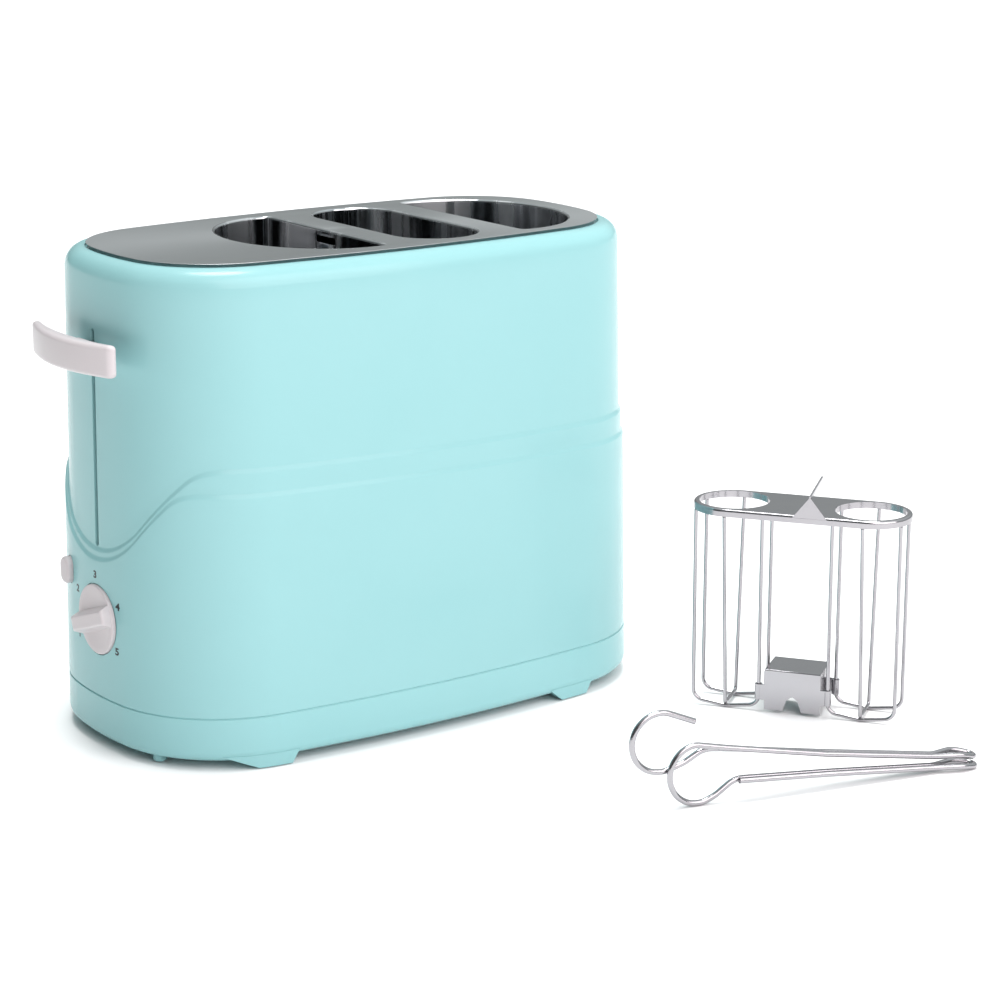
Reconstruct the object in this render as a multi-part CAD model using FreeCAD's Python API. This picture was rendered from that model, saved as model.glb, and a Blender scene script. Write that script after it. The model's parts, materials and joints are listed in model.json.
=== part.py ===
import FreeCAD, Part
import math
import os

# Hot dog toaster: two D-shaped bun wells, a cage well between them, a lift-out sausage cage, tongs.
# Millimetres, +Z up. Everything is drawn with the origin on the floor under the middle of the housing,
# and at the end the whole set moves so that the origin is under the middle of its own footprint.
# The control end, with the lever, the dial and the cancel button, is at -X, and the front is at -Y.

# ---------------------------------------------------------------- driving dimensions: the housing
body_height = 215.0            # top plate above the floor
plate_half_length = 118.6      # top plate, half of its plan outline
plate_half_width = 59.8
plate_end_radius = 149.0       # the outline is eight tangent arcs
plate_side_radius = 739.0
plate_corner_radius = 41.7
rim_width = 9.2                # painted rim round the top plate
rim_rounding = 8.0
draft = 0.017                  # the walls widen downwards by this share of the drop
wall = 2.4
plate_proud = 1.3              # top plate above the painted rim
plate_gap = 0.35               # line round the top plate
plate_seat_width = 5.0
parting_height = 23.2          # joint between shell and base
parting_bevel = 0.5
base_bottom = 3.9
base_rounding = 4.2
floor_thickness = 2.4

# ledge: two fine steps round the body, which dip in a wide U below the lever
ledge_step = 0.95
ledge_heights = (129.5, 119.0)
ledge_dip_heights = (87.5, 83.5)
ledge_dip_radii = (42.0, 40.0)
ledge_dip_slope = 50.0         # degrees
ledge_shoulder = 14.0
ledge_rake = 0.9               # degrees; both steps climb slightly towards the control end
ledge_softening = 0.6

# ---------------------------------------------------------------- driving dimensions: top plate and wells
sheet = 1.0                    # top plate and its drawn collars
plate_rim_depth = 2.7
well_offset = 24.0             # the wells stand off centre, to leave room for the controls
bun_well_inner = 36.2          # straight side of a bun well from the middle of the wells
bun_well_depth = 47.15         # straight side to crown
bun_well_half_length = 49.5
bun_well_shoulder = 6.0
cage_well_half_width = 19.7
cage_well_half_length = 50.4
collar_depth = 41.5
collar_lip = 1.2
window_width = 16.0            # window in each bun collar's straight side
window_height = 3.4
window_drop = 1.6

# ---------------------------------------------------------------- driving dimensions: oven and carriage
steel = 0.8                    # chassis sheet
oven_gap_left = 6.65           # from a bun well's crown to the bulkhead behind it
oven_gap_right = 2.65
oven_gap_side = 7.1            # from the ends of the bun wells to the heat shields
right_bulkhead_half_width = 41.0
chassis_floor_height = 26.0
chassis_top_gap = 2.0          # chassis sheets below the shell's roof
card_thickness = 0.8
card_inset = 0.5               # cards and guards inside the ends of the bun wells
card_bottom = 62.0
card_drop = 2.5                # cards below the tops of the guards
ribbon_thickness = 0.3
ribbon_height = 1.4
ribbon_rows = 12
ribbon_first = 92.0
ribbon_pitch = 6.8
guard_drop = 1.5               # guards below the collars
rack_depth = 47.0              # racks below the top plate, with the lever up
lever_travel = 80.0
arm_thickness = 2.0
arm_height = 8.0
arm_gap = 4.0                  # middle of the lift arms beyond the ends of the bun wells
rack_clearance = 1.8
slider_gap = 10.0              # slider in front of the bulkhead
rod_gap = 18.0
rod_spacing = 24.0
rod_radius = 2.5
bushing_radius = 4.0
running_clearance = 0.05
shelf_height = 50.0            # top of the latch shelf
rod_bracket_drop = 1.9         # rod bracket below the tops of the chassis sheets
bracket_half_width = 32.0
bracket = 1.2                  # slider and bracket sheet

# ---------------------------------------------------------------- driving dimensions: controls
lever_above_racks = 7.0
lever_slot_width = 3.0
slot_gap_below = 1.5           # slot past the lever arm, at each end of the travel
slot_gap_above = 5.0
lever_arm_thickness = 1.6
lever_arm_height = 8.0
handle_height = 13.0
handle_half_width = 37.5
handle_thickness = 8.0
handle_standoff = 9.6          # inner face of the handle from the wall, at the middle
handle_sagitta = 7.0
handle_end_thickness = 4.2
handle_rounding = 2.0
dial_radius = 15.4
dial_y = -2.0
dial_z = 57.6
dial_recess = 1.1              # shallow round recess in the wall, behind the dial
dial_recess_gap = 0.4          # round the dial
dial_disc = 1.8
dial_grip_height = 4.4
dial_grip_width = 8.0
dial_rest_angle = 19.0         # the grip's right end is up by this angle
button_y = 26.5
button_z = 73.0
button_width = 8.0
button_height = 12.0
button_proud = 3.4
button_travel = 2.5
board_inset = 7.6              # board inside the end of the top plate
board_half_width = 35.0
board_bottom = 30.0
board_top = 82.0
clear = 0.3                    # between pieces of different bodies

# ---------------------------------------------------------------- driving dimensions: foot, tray, accessories
foot_insets = (34.1, 44.6)     # middles of the feet from the ends of the top plate
foot_width = 15.0
foot_flares = ((14.0, 3.5), (7.0, 3.5))    # growth of a foot's -X and +X side, up to the base
foot_depth = 13.0
foot_inset = 0.25              # feet behind the wall's face
peg_place = (-121.5, 34.5)     # two short round pegs under the control end
peg_radius = 3.0
pad_radius = 4.6
pad_thickness = 1.6
pad_proud = 0.6
tray_left, tray_right = -50.0, 90.0
tray_bottom = 7.0
tray_lip_top = 19.0
cage_clearance = 1.1           # cage in its well, each side
cage_height = 95.2
cage_lip = 3.4
cage_sheet = 0.9
cage_rim = 2.7                 # plate left between a hole and the edge
cage_flap_offset = 7.4         # lift flap along the cage, from its middle
wire_radius = 0.85
cage_place = (146.3, -141.8)
cage_yaw = -55.0
tong_radius = 1.3
tong_place = (30.4, -209.4)
tong_yaw = -14.25

parts = {}


def vec(x, y, z):
    return FreeCAD.Vector(x, y, z)


def box(x0, x1, y0, y1, z0, z1):
    return Part.makeBox(x1 - x0, y1 - y0, z1 - z0, vec(x0, y0, z0))


def rod(radius, start, end):
    start, end = vec(*start), vec(*end)
    return Part.makeCylinder(radius, (end - start).Length, start, end - start)


def tube(outer, inner, start, end):
    return rod(outer, start, end).cut(rod(inner, start, end))


def prism(points, direction):
    """A closed outline of points, extruded."""
    corners = [vec(*p) for p in points]
    return Part.Face(Part.makePolygon(corners + corners[:1])).extrude(vec(*direction))


def both_sides(shape):
    """The shape and its mirror image in the middle plane."""
    return [shape, shape.mirror(vec(0, 0, 0), vec(0, 1, 0))]


def group(shapes):
    return Part.makeCompound(shapes)


def fused(shapes):
    return shapes[0].multiFuse(shapes[1:]).removeSplitter()


# ---------------------------------------------------------------- the plan outline

END_X = plate_half_length - plate_end_radius
SIDE_Y = plate_half_width - plate_side_radius


def corner_centre():
    """Centre of the corner arc, which is tangent inside the end arc and the side arc."""
    to_end = plate_end_radius - plate_corner_radius
    to_side = plate_side_radius - plate_corner_radius
    span = math.hypot(END_X, SIDE_Y)
    along = (to_end ** 2 - to_side ** 2 + span ** 2) / (2 * span)
    across = math.sqrt(to_end ** 2 - along ** 2)
    ux, uy = -END_X / span, SIDE_Y / span
    return END_X + ux * along - uy * across, uy * along + ux * across


CORNER_X, CORNER_Y = corner_centre()


def oval(offset, z):
    """The plan outline, grown by offset, as a wire of eight tangent arcs."""
    def toward(cx, cy, radius):
        dx, dy = CORNER_X - cx, CORNER_Y - cy
        size = math.hypot(dx, dy)
        return cx + dx / size * radius, cy + dy / size * radius

    end = toward(END_X, 0, plate_end_radius + offset)
    side = toward(0, SIDE_Y, plate_side_radius + offset)
    middle_angle = (math.atan2(end[1] - CORNER_Y, end[0] - CORNER_X)
                    + math.atan2(side[1] - CORNER_Y, side[0] - CORNER_X)) / 2
    radius = plate_corner_radius + offset
    corner = (CORNER_X + radius * math.cos(middle_angle), CORNER_Y + radius * math.sin(middle_angle))
    tip = (plate_half_length + offset, 0)
    crown = (0, plate_half_width + offset)

    def arc(points):
        return Part.Arc(*[vec(x, y, z) for x, y in points]).toShape()

    def flip(point, sx, sy):
        return point[0] * sx, point[1] * sy

    edges = [arc([flip(end, 1, -1), tip, end]),
             arc([end, corner, side]),
             arc([side, crown, flip(side, -1, 1)]),
             arc([flip(side, -1, 1), flip(corner, -1, 1), flip(end, -1, 1)]),
             arc([flip(end, -1, 1), flip(tip, -1, 1), flip(end, -1, -1)]),
             arc([flip(end, -1, -1), flip(corner, -1, -1), flip(side, -1, -1)]),
             arc([flip(side, -1, -1), flip(crown, 1, -1), flip(side, 1, -1)]),
             arc([flip(side, 1, -1), flip(corner, 1, -1), flip(end, 1, -1)])]
    return Part.Wire(edges)


def flare(z):
    """Offset of the upper body's outer face from the plate outline at a height."""
    return rim_width + draft * (body_height - z)


SKIRT = 2 * ledge_step         # both steps together


def body_solid(z0, z1, extra):
    """A slice of the drafted body, with its outer face moved out by extra."""
    return Part.makeLoft([oval(flare(z0) + extra, z0), oval(flare(z1) + extra, z1)], True, True)


def straight_solid(offset, z0, z1):
    return Part.Face(oval(offset, z0)).extrude(vec(0, 0, z1 - z0))


def end_wall_x(y, z, extra=SKIRT):
    """X of the control end's wall at a height, on the end arc or on the corner arc beside it."""
    grown = flare(z) + extra
    tangent_y = CORNER_Y * (plate_end_radius + grown) / (plate_end_radius - plate_corner_radius)
    if abs(y) > tangent_y:
        return -(CORNER_X + math.sqrt((plate_corner_radius + grown) ** 2 - (abs(y) - CORNER_Y) ** 2))
    return -(END_X + math.sqrt((plate_end_radius + grown) ** 2 - y ** 2))


def side_wall_y(x, offset):
    """Y of the outline, grown by offset, at an x inside the corner arc or the side arc."""
    if abs(x) > CORNER_X:
        return CORNER_Y + math.sqrt((plate_corner_radius + offset) ** 2 - (abs(x) - CORNER_X) ** 2)
    return SIDE_Y + math.sqrt((plate_side_radius + offset) ** 2 - x ** 2)


# ---------------------------------------------------------------- outlines of the wells

WELL_BUN_LEFT = well_offset - bun_well_inner
WELL_BUN_RIGHT = well_offset + bun_well_inner
OVEN_LEFT = WELL_BUN_LEFT - bun_well_depth - oven_gap_left
OVEN_RIGHT = WELL_BUN_RIGHT + bun_well_depth + oven_gap_right
OVEN_HALF = bun_well_half_length + oven_gap_side
CARD_HALF = bun_well_half_length - card_inset
ARM_MIDDLE = bun_well_half_length + arm_gap


def bun_outline(side, grow, z):
    """D-shaped outline: a straight side, short shoulders and half an ellipse. side is -1 or +1."""
    straight_x = well_offset + side * (bun_well_inner - grow)
    shoulder_x = well_offset + side * (bun_well_inner + bun_well_shoulder)
    half = bun_well_half_length + grow
    depth = bun_well_depth - bun_well_shoulder + grow
    low, high = vec(shoulder_x, -half, z), vec(shoulder_x, half, z)
    if half >= depth:
        ellipse = Part.Ellipse(high, vec(shoulder_x + side * depth, 0, z), vec(shoulder_x, 0, z))
    else:
        ellipse = Part.Ellipse(vec(shoulder_x + side * depth, 0, z), high, vec(shoulder_x, 0, z))
    start, end = ellipse.parameter(low), ellipse.parameter(high)
    crown = ellipse.parameter(vec(shoulder_x + side * depth, 0, z))
    turn = 2 * math.pi
    if not (start < crown < (end if end > start else end + turn)):
        start, end = end, start
    if end < start:
        end += turn
    curve = Part.ArcOfEllipse(ellipse, start, end).toShape()
    edges = [Part.makeLine(vec(straight_x, -half, z), vec(straight_x, half, z)),
             Part.makeLine(vec(straight_x, half, z), high), curve,
             Part.makeLine(low, vec(straight_x, -half, z))]
    return Part.Wire(Part.__sortEdges__(edges))


def obround(cx, cy, half_length, half_width, z):
    """Obround outline with its long axis along Y."""
    straight = half_length - half_width
    top, bottom = cy + straight, cy - straight
    right, left = cx + half_width, cx - half_width
    return Part.Wire([Part.makeLine(vec(right, bottom, z), vec(right, top, z)),
                      Part.Arc(vec(right, top, z), vec(cx, top + half_width, z), vec(left, top, z)).toShape(),
                      Part.makeLine(vec(left, top, z), vec(left, bottom, z)),
                      Part.Arc(vec(left, bottom, z), vec(cx, bottom - half_width, z),
                               vec(right, bottom, z)).toShape()])


def cage_outline(grow, z):
    return obround(well_offset, 0, cage_well_half_length + grow, cage_well_half_width + grow, z)


def well_outlines(grow, z):
    return [bun_outline(-1, grow, z), cage_outline(grow, z), bun_outline(1, grow, z)]


def column(wire, height):
    return Part.Face(wire).extrude(vec(0, 0, height))


# ---------------------------------------------------------------- housing

RIM = body_height - plate_proud
SEAT = body_height - plate_rim_depth          # floor of the recess that the top plate sits in
ROOF = SEAT - wall
RACK_REST = body_height - rack_depth
HANDLE_Z = RACK_REST + lever_above_racks
SLOT_BOTTOM = HANDLE_Z - lever_travel - lever_arm_height / 2 - slot_gap_below
SLOT_TOP = HANDLE_Z + lever_arm_height / 2 + slot_gap_above
OUTSIDE = -2 * plate_half_length              # past the control end's wall


def ledge_cutter(index):
    """Everything above one step of the ledge: flat on the long sides, a wide U at the control end."""
    flat, dip, radius = ledge_heights[index], ledge_dip_heights[index], ledge_dip_radii[index]
    slope = math.radians(ledge_dip_slope)
    arc_y, arc_z = radius * math.sin(slope), dip + radius * (1 - math.cos(slope))
    knee_y = arc_y + (flat - arc_z) / math.tan(slope)
    tangent = ledge_shoulder * math.tan(slope / 2)
    ramp_y, ramp_z = knee_y - tangent * math.cos(slope), flat - tangent * math.sin(slope)
    bend_y = knee_y + tangent - ledge_shoulder * math.sin(slope / 2)
    bend_z = flat - ledge_shoulder * (1 - math.cos(slope / 2))
    far, outer = OUTSIDE, 2 * plate_half_width
    top = flat + 60

    def point(y, z):
        return vec(far, y, z)

    def half(sign):
        return [Part.makeLine(point(sign * outer, flat), point(sign * (knee_y + tangent), flat)),
                Part.Arc(point(sign * (knee_y + tangent), flat), point(sign * bend_y, bend_z),
                         point(sign * ramp_y, ramp_z)).toShape(),
                Part.makeLine(point(sign * ramp_y, ramp_z), point(sign * arc_y, arc_z))]

    edges = half(1) + half(-1)
    edges.append(Part.Arc(point(arc_y, arc_z), point(0, dip), point(-arc_y, arc_z)).toShape())
    edges.append(Part.makePolygon([point(outer, flat), point(outer, top), point(-outer, top),
                                   point(-outer, flat)]))
    flat_edges = [edge for piece in edges for edge in piece.Edges]
    profile = Part.Face(Part.Wire(Part.__sortEdges__(flat_edges)))
    cutter = profile.extrude(vec(-far - plate_half_length / 2, 0, 0))
    cutter = cutter.fuse(box(-plate_half_length / 2 - 1, -far, -outer, outer, flat, top))
    cutter.rotate(vec(0, 0, flat), vec(0, 1, 0), ledge_rake)
    return cutter


def skirt(index, z0):
    """One step of the ledge as a solid of the lower body, with its upper edge softened."""
    extra = (index + 1) * ledge_step
    blank = body_solid(z0, ledge_heights[index] + 20, extra)
    solid = blank.cut(ledge_cutter(index))
    rim = [edge for edge in solid.Edges
           if edge.BoundBox.ZMin > z0 + 30 and edge.Length > 0.5 and touches_outside(edge, extra)]
    return solid.makeFillet(ledge_softening, rim)


def touches_outside(edge, extra):
    """True for an edge whose middle lies on the outer face and is not a seam down it."""
    middle = edge.valueAt((edge.FirstParameter + edge.LastParameter) / 2)
    tangent = edge.tangentAt((edge.FirstParameter + edge.LastParameter) / 2)
    on_face = abs(outline_offset(middle.x, middle.y) - flare(middle.z) - extra) < 0.05
    return on_face and abs(tangent.z) < 0.95


def outline_offset(x, y):
    """How far a point in plan lies outside the plate outline."""
    x, y = abs(x), abs(y)
    from_corner = math.hypot(x - CORNER_X, y - CORNER_Y)
    end_slope = CORNER_Y / (CORNER_X - END_X)
    side_slope = (CORNER_Y - SIDE_Y) / CORNER_X
    if y < end_slope * (x - END_X):
        return math.hypot(x - END_X, y) - plate_end_radius
    if (y - SIDE_Y) > side_slope * x:
        return math.hypot(x, y - SIDE_Y) - plate_side_radius
    return from_corner - plate_corner_radius


def make_outer_shell():
    upper = body_solid(parting_height, RIM, 0)
    top_edges = [edge for edge in upper.Edges if edge.BoundBox.ZMin > RIM - 0.01]
    upper = upper.makeFillet(rim_rounding, top_edges)
    outside = upper.multiFuse([skirt(0, parting_height), skirt(1, parting_height)])
    bevel = body_solid(parting_height, parting_height + parting_bevel, SKIRT + 1).cut(
        Part.makeLoft([oval(flare(parting_height) + SKIRT - parting_bevel, parting_height),
                       oval(flare(parting_height) + SKIRT, parting_height + parting_bevel)], True, True))
    shell = outside.cut(body_solid(parting_height - 1, ROOF, -wall))
    shell = shell.cut(straight_solid(plate_gap, SEAT, RIM + 1))
    shell = shell.cut(straight_solid(-plate_seat_width, ROOF - 1, RIM + 1))
    half_slot = lever_slot_width / 2
    inside = 5 - plate_half_length
    slot = box(OUTSIDE, inside, -half_slot, half_slot, SLOT_BOTTOM + half_slot, SLOT_TOP - half_slot)
    for z in (SLOT_BOTTOM + half_slot, SLOT_TOP - half_slot):
        slot = slot.fuse(rod(half_slot, (OUTSIDE, 0, z), (inside, 0, z)))
    shell = shell.cut(slot)
    shell = shell.cut(rod(SHAFT_HOLE, (OUTSIDE, dial_y, dial_z), (inside, dial_y, dial_z)))
    shell = shell.cut(rod(dial_radius + dial_recess_gap, (OUTSIDE, dial_y, dial_z),
                          (DIAL_RECESS, dial_y, dial_z)))
    shell = shell.cut(button_prism(clear, OUTSIDE, inside))
    shell = shell.cut(bevel)
    for boss in screw_bosses():
        shell = shell.fuse(boss)
    parts["outer_shell"] = shell


SHAFT_HOLE = 4.5
DIAL_RECESS = end_wall_x(dial_y, dial_z) + dial_recess
BOSS_PLACES = [(x, side * y) for x, y in ((20.6 - plate_half_length, 38), (plate_half_length - 0.6, 20))
               for side in (-1, 1)]
BOSS_RADIUS, BOSS_BORE = 4.5, 1.7
BOSS_TOP = 60.0
BOSS_SEAT = parting_height + 9


def screw_bosses():
    """Bosses that hang inside the shell's corners for the base screws, each webbed to the wall."""
    inside = body_solid(parting_height, BOSS_TOP, -wall + 0.5)
    bosses = []
    for x, y in BOSS_PLACES:
        side = 1 if x > 0 else -1
        post = tube(BOSS_RADIUS, BOSS_BORE, (x, y, BOSS_SEAT), (x, y, BOSS_TOP))
        low, high = sorted((x + side * (BOSS_BORE + 1), side * (plate_half_length + 40)))
        web = box(low, high, y - 1, y + 1, BOSS_SEAT, BOSS_TOP).common(inside)
        bosses.append(post.fuse(web))
    return bosses


def button_prism(grow, x0, x1):
    """The cancel button's obround section, grown, along X."""
    half_w, half_h = button_width / 2 + grow, button_height / 2 + grow
    straight = half_h - half_w
    body = box(x0, x1, button_y - half_w, button_y + half_w, button_z - straight, button_z + straight)
    for z in (button_z - straight, button_z + straight):
        body = body.fuse(rod(half_w, (x0, button_y, z), (x1, button_y, z)))
    return body.removeSplitter()


def foot_blocks():
    """Four moulded feet, just inside the wall's face, with slanted sides."""
    top = base_bottom + floor_thickness
    band = body_solid(pad_proud, top, SKIRT - foot_inset)
    band = band.cut(straight_solid(flare(0) + SKIRT - foot_depth, 0, top + 1))
    feet = []
    for x, (low_side, high_side) in zip(FOOT_CENTRES, foot_flares):
        half = foot_width / 2
        outline = [(x - half, 0, pad_proud), (x + half, 0, pad_proud),
                   (x + half + high_side, 0, top), (x - half - low_side, 0, top)]
        feet += both_sides(prism(outline, (0, 120, 0)).common(band))
    return feet


def pad_centres():
    places = []
    for x in FOOT_CENTRES:
        y = side_wall_y(x, flare(0) + SKIRT) - foot_depth / 2
        places += [(x, -y), (x, y)]
    return places


def make_base():
    outside = body_solid(base_bottom, parting_height, SKIRT)
    bottom_edges = [edge for edge in outside.Edges if edge.BoundBox.ZMax < base_bottom + 0.01]
    outside = outside.makeFillet(base_rounding, bottom_edges)
    bevel = body_solid(parting_height - parting_bevel, parting_height, SKIRT + 1).cut(
        Part.makeLoft([oval(flare(parting_height) + SKIRT, parting_height - parting_bevel),
                       oval(flare(parting_height) + SKIRT - parting_bevel, parting_height)], True, True))
    base = outside.cut(bevel)
    floor = base_bottom + floor_thickness
    base = base.cut(body_solid(floor, parting_height + 1, -wall))
    tongue = body_solid(parting_height - 3, parting_height + 6, -wall - clear).cut(
        body_solid(parting_height - 4, parting_height + 7, -wall - clear - 1.6))
    bridge = body_solid(parting_height - 4, parting_height - 2, -wall + 0.2).cut(
        body_solid(parting_height - 5, parting_height - 1, -wall - clear - 1.6))
    base = base.multiFuse([tongue, bridge] + foot_blocks())
    for side in (-1, 1):
        x, y = peg_place[0], side * peg_place[1]
        peg = rod(peg_radius, (x, y, pad_proud), (x, y, floor))
        base = base.fuse(peg.makeFillet(1.4, [e for e in peg.Edges if e.BoundBox.ZMax < pad_proud + 0.01]))
    for x, y in CHASSIS_POSTS:
        base = base.fuse(rod(POST_RADIUS, (x, y, floor - 1), (x, y, chassis_floor_height)))
    for side in (-1, 1):
        post = box(BOARD_X - 4, BOARD_X + 4.8, side * 31 - 3, side * 31 + 3, floor - 1, board_bottom + 6)
        groove = box(BOARD_X, BOARD_X + BOARD, -board_half_width, board_half_width, board_bottom, board_top)
        base = base.fuse(post.cut(groove))
    for x, y in BOSS_PLACES:
        base = base.fuse(tube(BOSS_RADIUS, SCREW_SHANK + 0.2, (x, y, floor - 1), (x, y, BOSS_SEAT)))
        base = base.cut(rod(SCREW_HEAD + 0.2, (x, y, 0), (x, y, base_bottom + 6)))
        base = base.cut(rod(SCREW_SHANK + 0.2, (x, y, 0), (x, y, BOSS_SEAT)))
    for x, y in pad_centres():
        base = base.cut(rod(pad_radius, (x, y, 0), (x, y, pad_thickness)))
    base = base.cut(tray_opening(0.5))
    for column_x in range(5):
        x = -106 + column_x * 9.0
        base = base.cut(box(x, x + 3, -22, 22, 0, floor + 1))
    for side in (-1, 1):
        for row in range(7):
            x = -44 + row * 20.0
            base = base.cut(box(x, x + 12, side * 20 - 1.5, side * 20 + 1.5, 0, floor + 1))
    inner = side_wall_y(CORD_X, flare(CORD_Z) - wall)
    base = base.cut(rod(BUSHING_HOLE + 0.1, (CORD_X, inner - 4, CORD_Z), (CORD_X, inner + 20, CORD_Z)))
    parts["base"] = base
    parts["foot_pads"] = group([rod(pad_radius, (x, y, 0), (x, y, pad_thickness))
                                for x, y in pad_centres()])
    screws = []
    for x, y in BOSS_PLACES:
        head = rod(SCREW_HEAD, (x, y, base_bottom + 4), (x, y, base_bottom + 6))
        screws.append(head.fuse(rod(BOSS_BORE, (x, y, base_bottom + 5), (x, y, BOSS_TOP - 8))))
    parts["base_screws"] = group(screws)


CHASSIS_POSTS = [(x, side * y) for x, y in ((OVEN_LEFT + 6, 49.0), (OVEN_RIGHT - 9, 33.0))
                 for side in (-1, 1)]
POST_RADIUS = 4.0
BOARD = 1.6
BOARD_X = board_inset - plate_half_length
FOOT_CENTRES = (foot_insets[0] - plate_half_length, plate_half_length - foot_insets[1])
SCREW_HEAD, SCREW_SHANK = 3.4, 1.7
BUSHING_HOLE = 5.5
CORD_X, CORD_Z = -61.0, 14.5


def tray_opening(grow):
    return box(tray_left - grow, tray_right + grow, 30, 120, tray_bottom - grow, tray_lip_top + grow)


def make_crumb_tray():
    lip = body_solid(tray_bottom, tray_lip_top, SKIRT).cut(
        body_solid(tray_bottom - 1, tray_lip_top + 1, SKIRT - wall))
    lip = lip.common(tray_opening(0))
    rear = plate_half_width + rim_width
    pan = box(tray_left + 1, tray_right - 1, -46, rear, tray_bottom, tray_bottom + 6)
    room = straight_solid(rim_width - wall + 1, tray_bottom, tray_bottom + 6)
    pan = pan.common(room)
    pan = pan.cut(box(tray_left + 1 + steel, tray_right - 1 - steel, -46 + steel, rear,
                      tray_bottom + steel, tray_bottom + 7))
    link = box(tray_left + 1, tray_right - 1, rear - 12, 120, tray_bottom, tray_bottom + steel)
    link = link.common(body_solid(tray_bottom, tray_bottom + steel, SKIRT - 1))
    pull = box(8, 32, 30, 120, tray_lip_top - 4, tray_lip_top)
    pull = pull.common(body_solid(tray_lip_top - 4, tray_lip_top, SKIRT)).cut(
        body_solid(tray_lip_top - 5, tray_lip_top + 1, SKIRT - 1.4))
    parts["crumb_tray"] = pan.multiFuse([link, lip]).cut(pull).removeSplitter()


def make_cord_bushing():
    outer = side_wall_y(CORD_X, flare(CORD_Z) + SKIRT)
    inner = side_wall_y(CORD_X, flare(CORD_Z) - wall)
    body = rod(BUSHING_HOLE, (CORD_X, inner - 3, CORD_Z), (CORD_X, outer + 1.0, CORD_Z))
    flange = rod(BUSHING_HOLE + 1.5, (CORD_X, outer + 0.6, CORD_Z), (CORD_X, outer + 2.4, CORD_Z))
    bushing = body.fuse(flange).cut(rod(3.4, (CORD_X, inner - 4, CORD_Z), (CORD_X, outer + 4, CORD_Z)))
    parts["cord_bushing"] = bushing


# ---------------------------------------------------------------- top plate

def make_top_plate():
    low = body_height - sheet
    plate = straight_solid(0, low, body_height)
    rim = straight_solid(0, SEAT, body_height).cut(straight_solid(-sheet, SEAT - 1, low + 0.1))
    plate = plate.fuse(rim)
    for grown in well_outlines(collar_lip, body_height - collar_depth):
        plate = plate.fuse(column(grown, collar_depth))
    for inner in well_outlines(0, body_height - collar_depth - 1):
        plate = plate.cut(column(inner, collar_depth + 2))
    for x, side in ((WELL_BUN_LEFT, 1), (WELL_BUN_RIGHT, -1)):
        near, far = sorted((x - side * 0.5, x + side * (collar_lip + 0.5)))
        top = body_height - window_drop
        plate = plate.cut(box(near, far, -window_width / 2, window_width / 2, top - window_height, top))
    edges = [edge for edge in plate.Edges
             if edge.BoundBox.ZMin > body_height - 0.01 and edge.Length > 3]
    parts["top_plate"] = plate.makeFillet(0.8, edges)


# ---------------------------------------------------------------- oven

CARD_X = ((WELL_BUN_LEFT + well_offset - cage_well_half_width) / 2,
          (WELL_BUN_RIGHT + well_offset + cage_well_half_width) / 2)
GUARD_X = {"left_bun_guard": WELL_BUN_LEFT, "cage_guard_left": well_offset - cage_well_half_width - steel,
           "cage_guard_right": well_offset + cage_well_half_width, "right_bun_guard": WELL_BUN_RIGHT - steel}
CHASSIS_TOP = ROOF - chassis_top_gap
FLOOR_TOP = chassis_floor_height + steel
GUARD_TOP = body_height - collar_depth - guard_drop
CARD_TOP = GUARD_TOP - card_drop
CRUMB_OPENINGS = [(WELL_BUN_LEFT - 32, WELL_BUN_LEFT - 3), (well_offset - 15, well_offset + 15),
                  (WELL_BUN_RIGHT + 3, WELL_BUN_RIGHT + 32)]


def make_chassis():
    plate = box(OVEN_LEFT - steel, OVEN_RIGHT + steel, -OVEN_HALF - steel, OVEN_HALF + steel,
                chassis_floor_height, FLOOR_TOP)
    plate = plate.common(straight_solid(rim_width - wall - 1.5, 0, 60))
    for x0, x1 in CRUMB_OPENINGS:
        plate = plate.cut(box(x0, x1, -36, 36, 0, 60))
    parts["chassis_floor"] = plate
    bulkhead = box(OVEN_LEFT - steel, OVEN_LEFT, -OVEN_HALF, OVEN_HALF, FLOOR_TOP, CHASSIS_TOP)
    arm_slot_bottom = RACK_REST - lever_travel - arm_height - 3
    for side in (-1, 1):
        half = arm_thickness / 2 + 0.6
        y0, y1 = sorted((side * (ARM_MIDDLE - half), side * (ARM_MIDDLE + half)))
        bulkhead = bulkhead.cut(box(OVEN_LEFT - 2, OVEN_LEFT + 2, y0, y1, arm_slot_bottom, CHASSIS_TOP + 1))
    parts["left_bulkhead"] = bulkhead
    parts["right_bulkhead"] = box(OVEN_RIGHT, OVEN_RIGHT + steel, -right_bulkhead_half_width,
                                  right_bulkhead_half_width, FLOOR_TOP, CHASSIS_TOP)
    for name, side in (("front_heat_shield", -1), ("rear_heat_shield", 1)):
        y0, y1 = sorted((side * OVEN_HALF, side * (OVEN_HALF + steel)))
        shield = box(OVEN_LEFT - steel, CORNER_X + 6, y0, y1, FLOOR_TOP, CHASSIS_TOP)
        for row in range(6):
            x = OVEN_LEFT + 14 + row * 22.0
            shield = shield.cut(box(x, x + 14, y0 - 1, y1 + 1, 36, 40))
        parts[name] = shield


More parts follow.
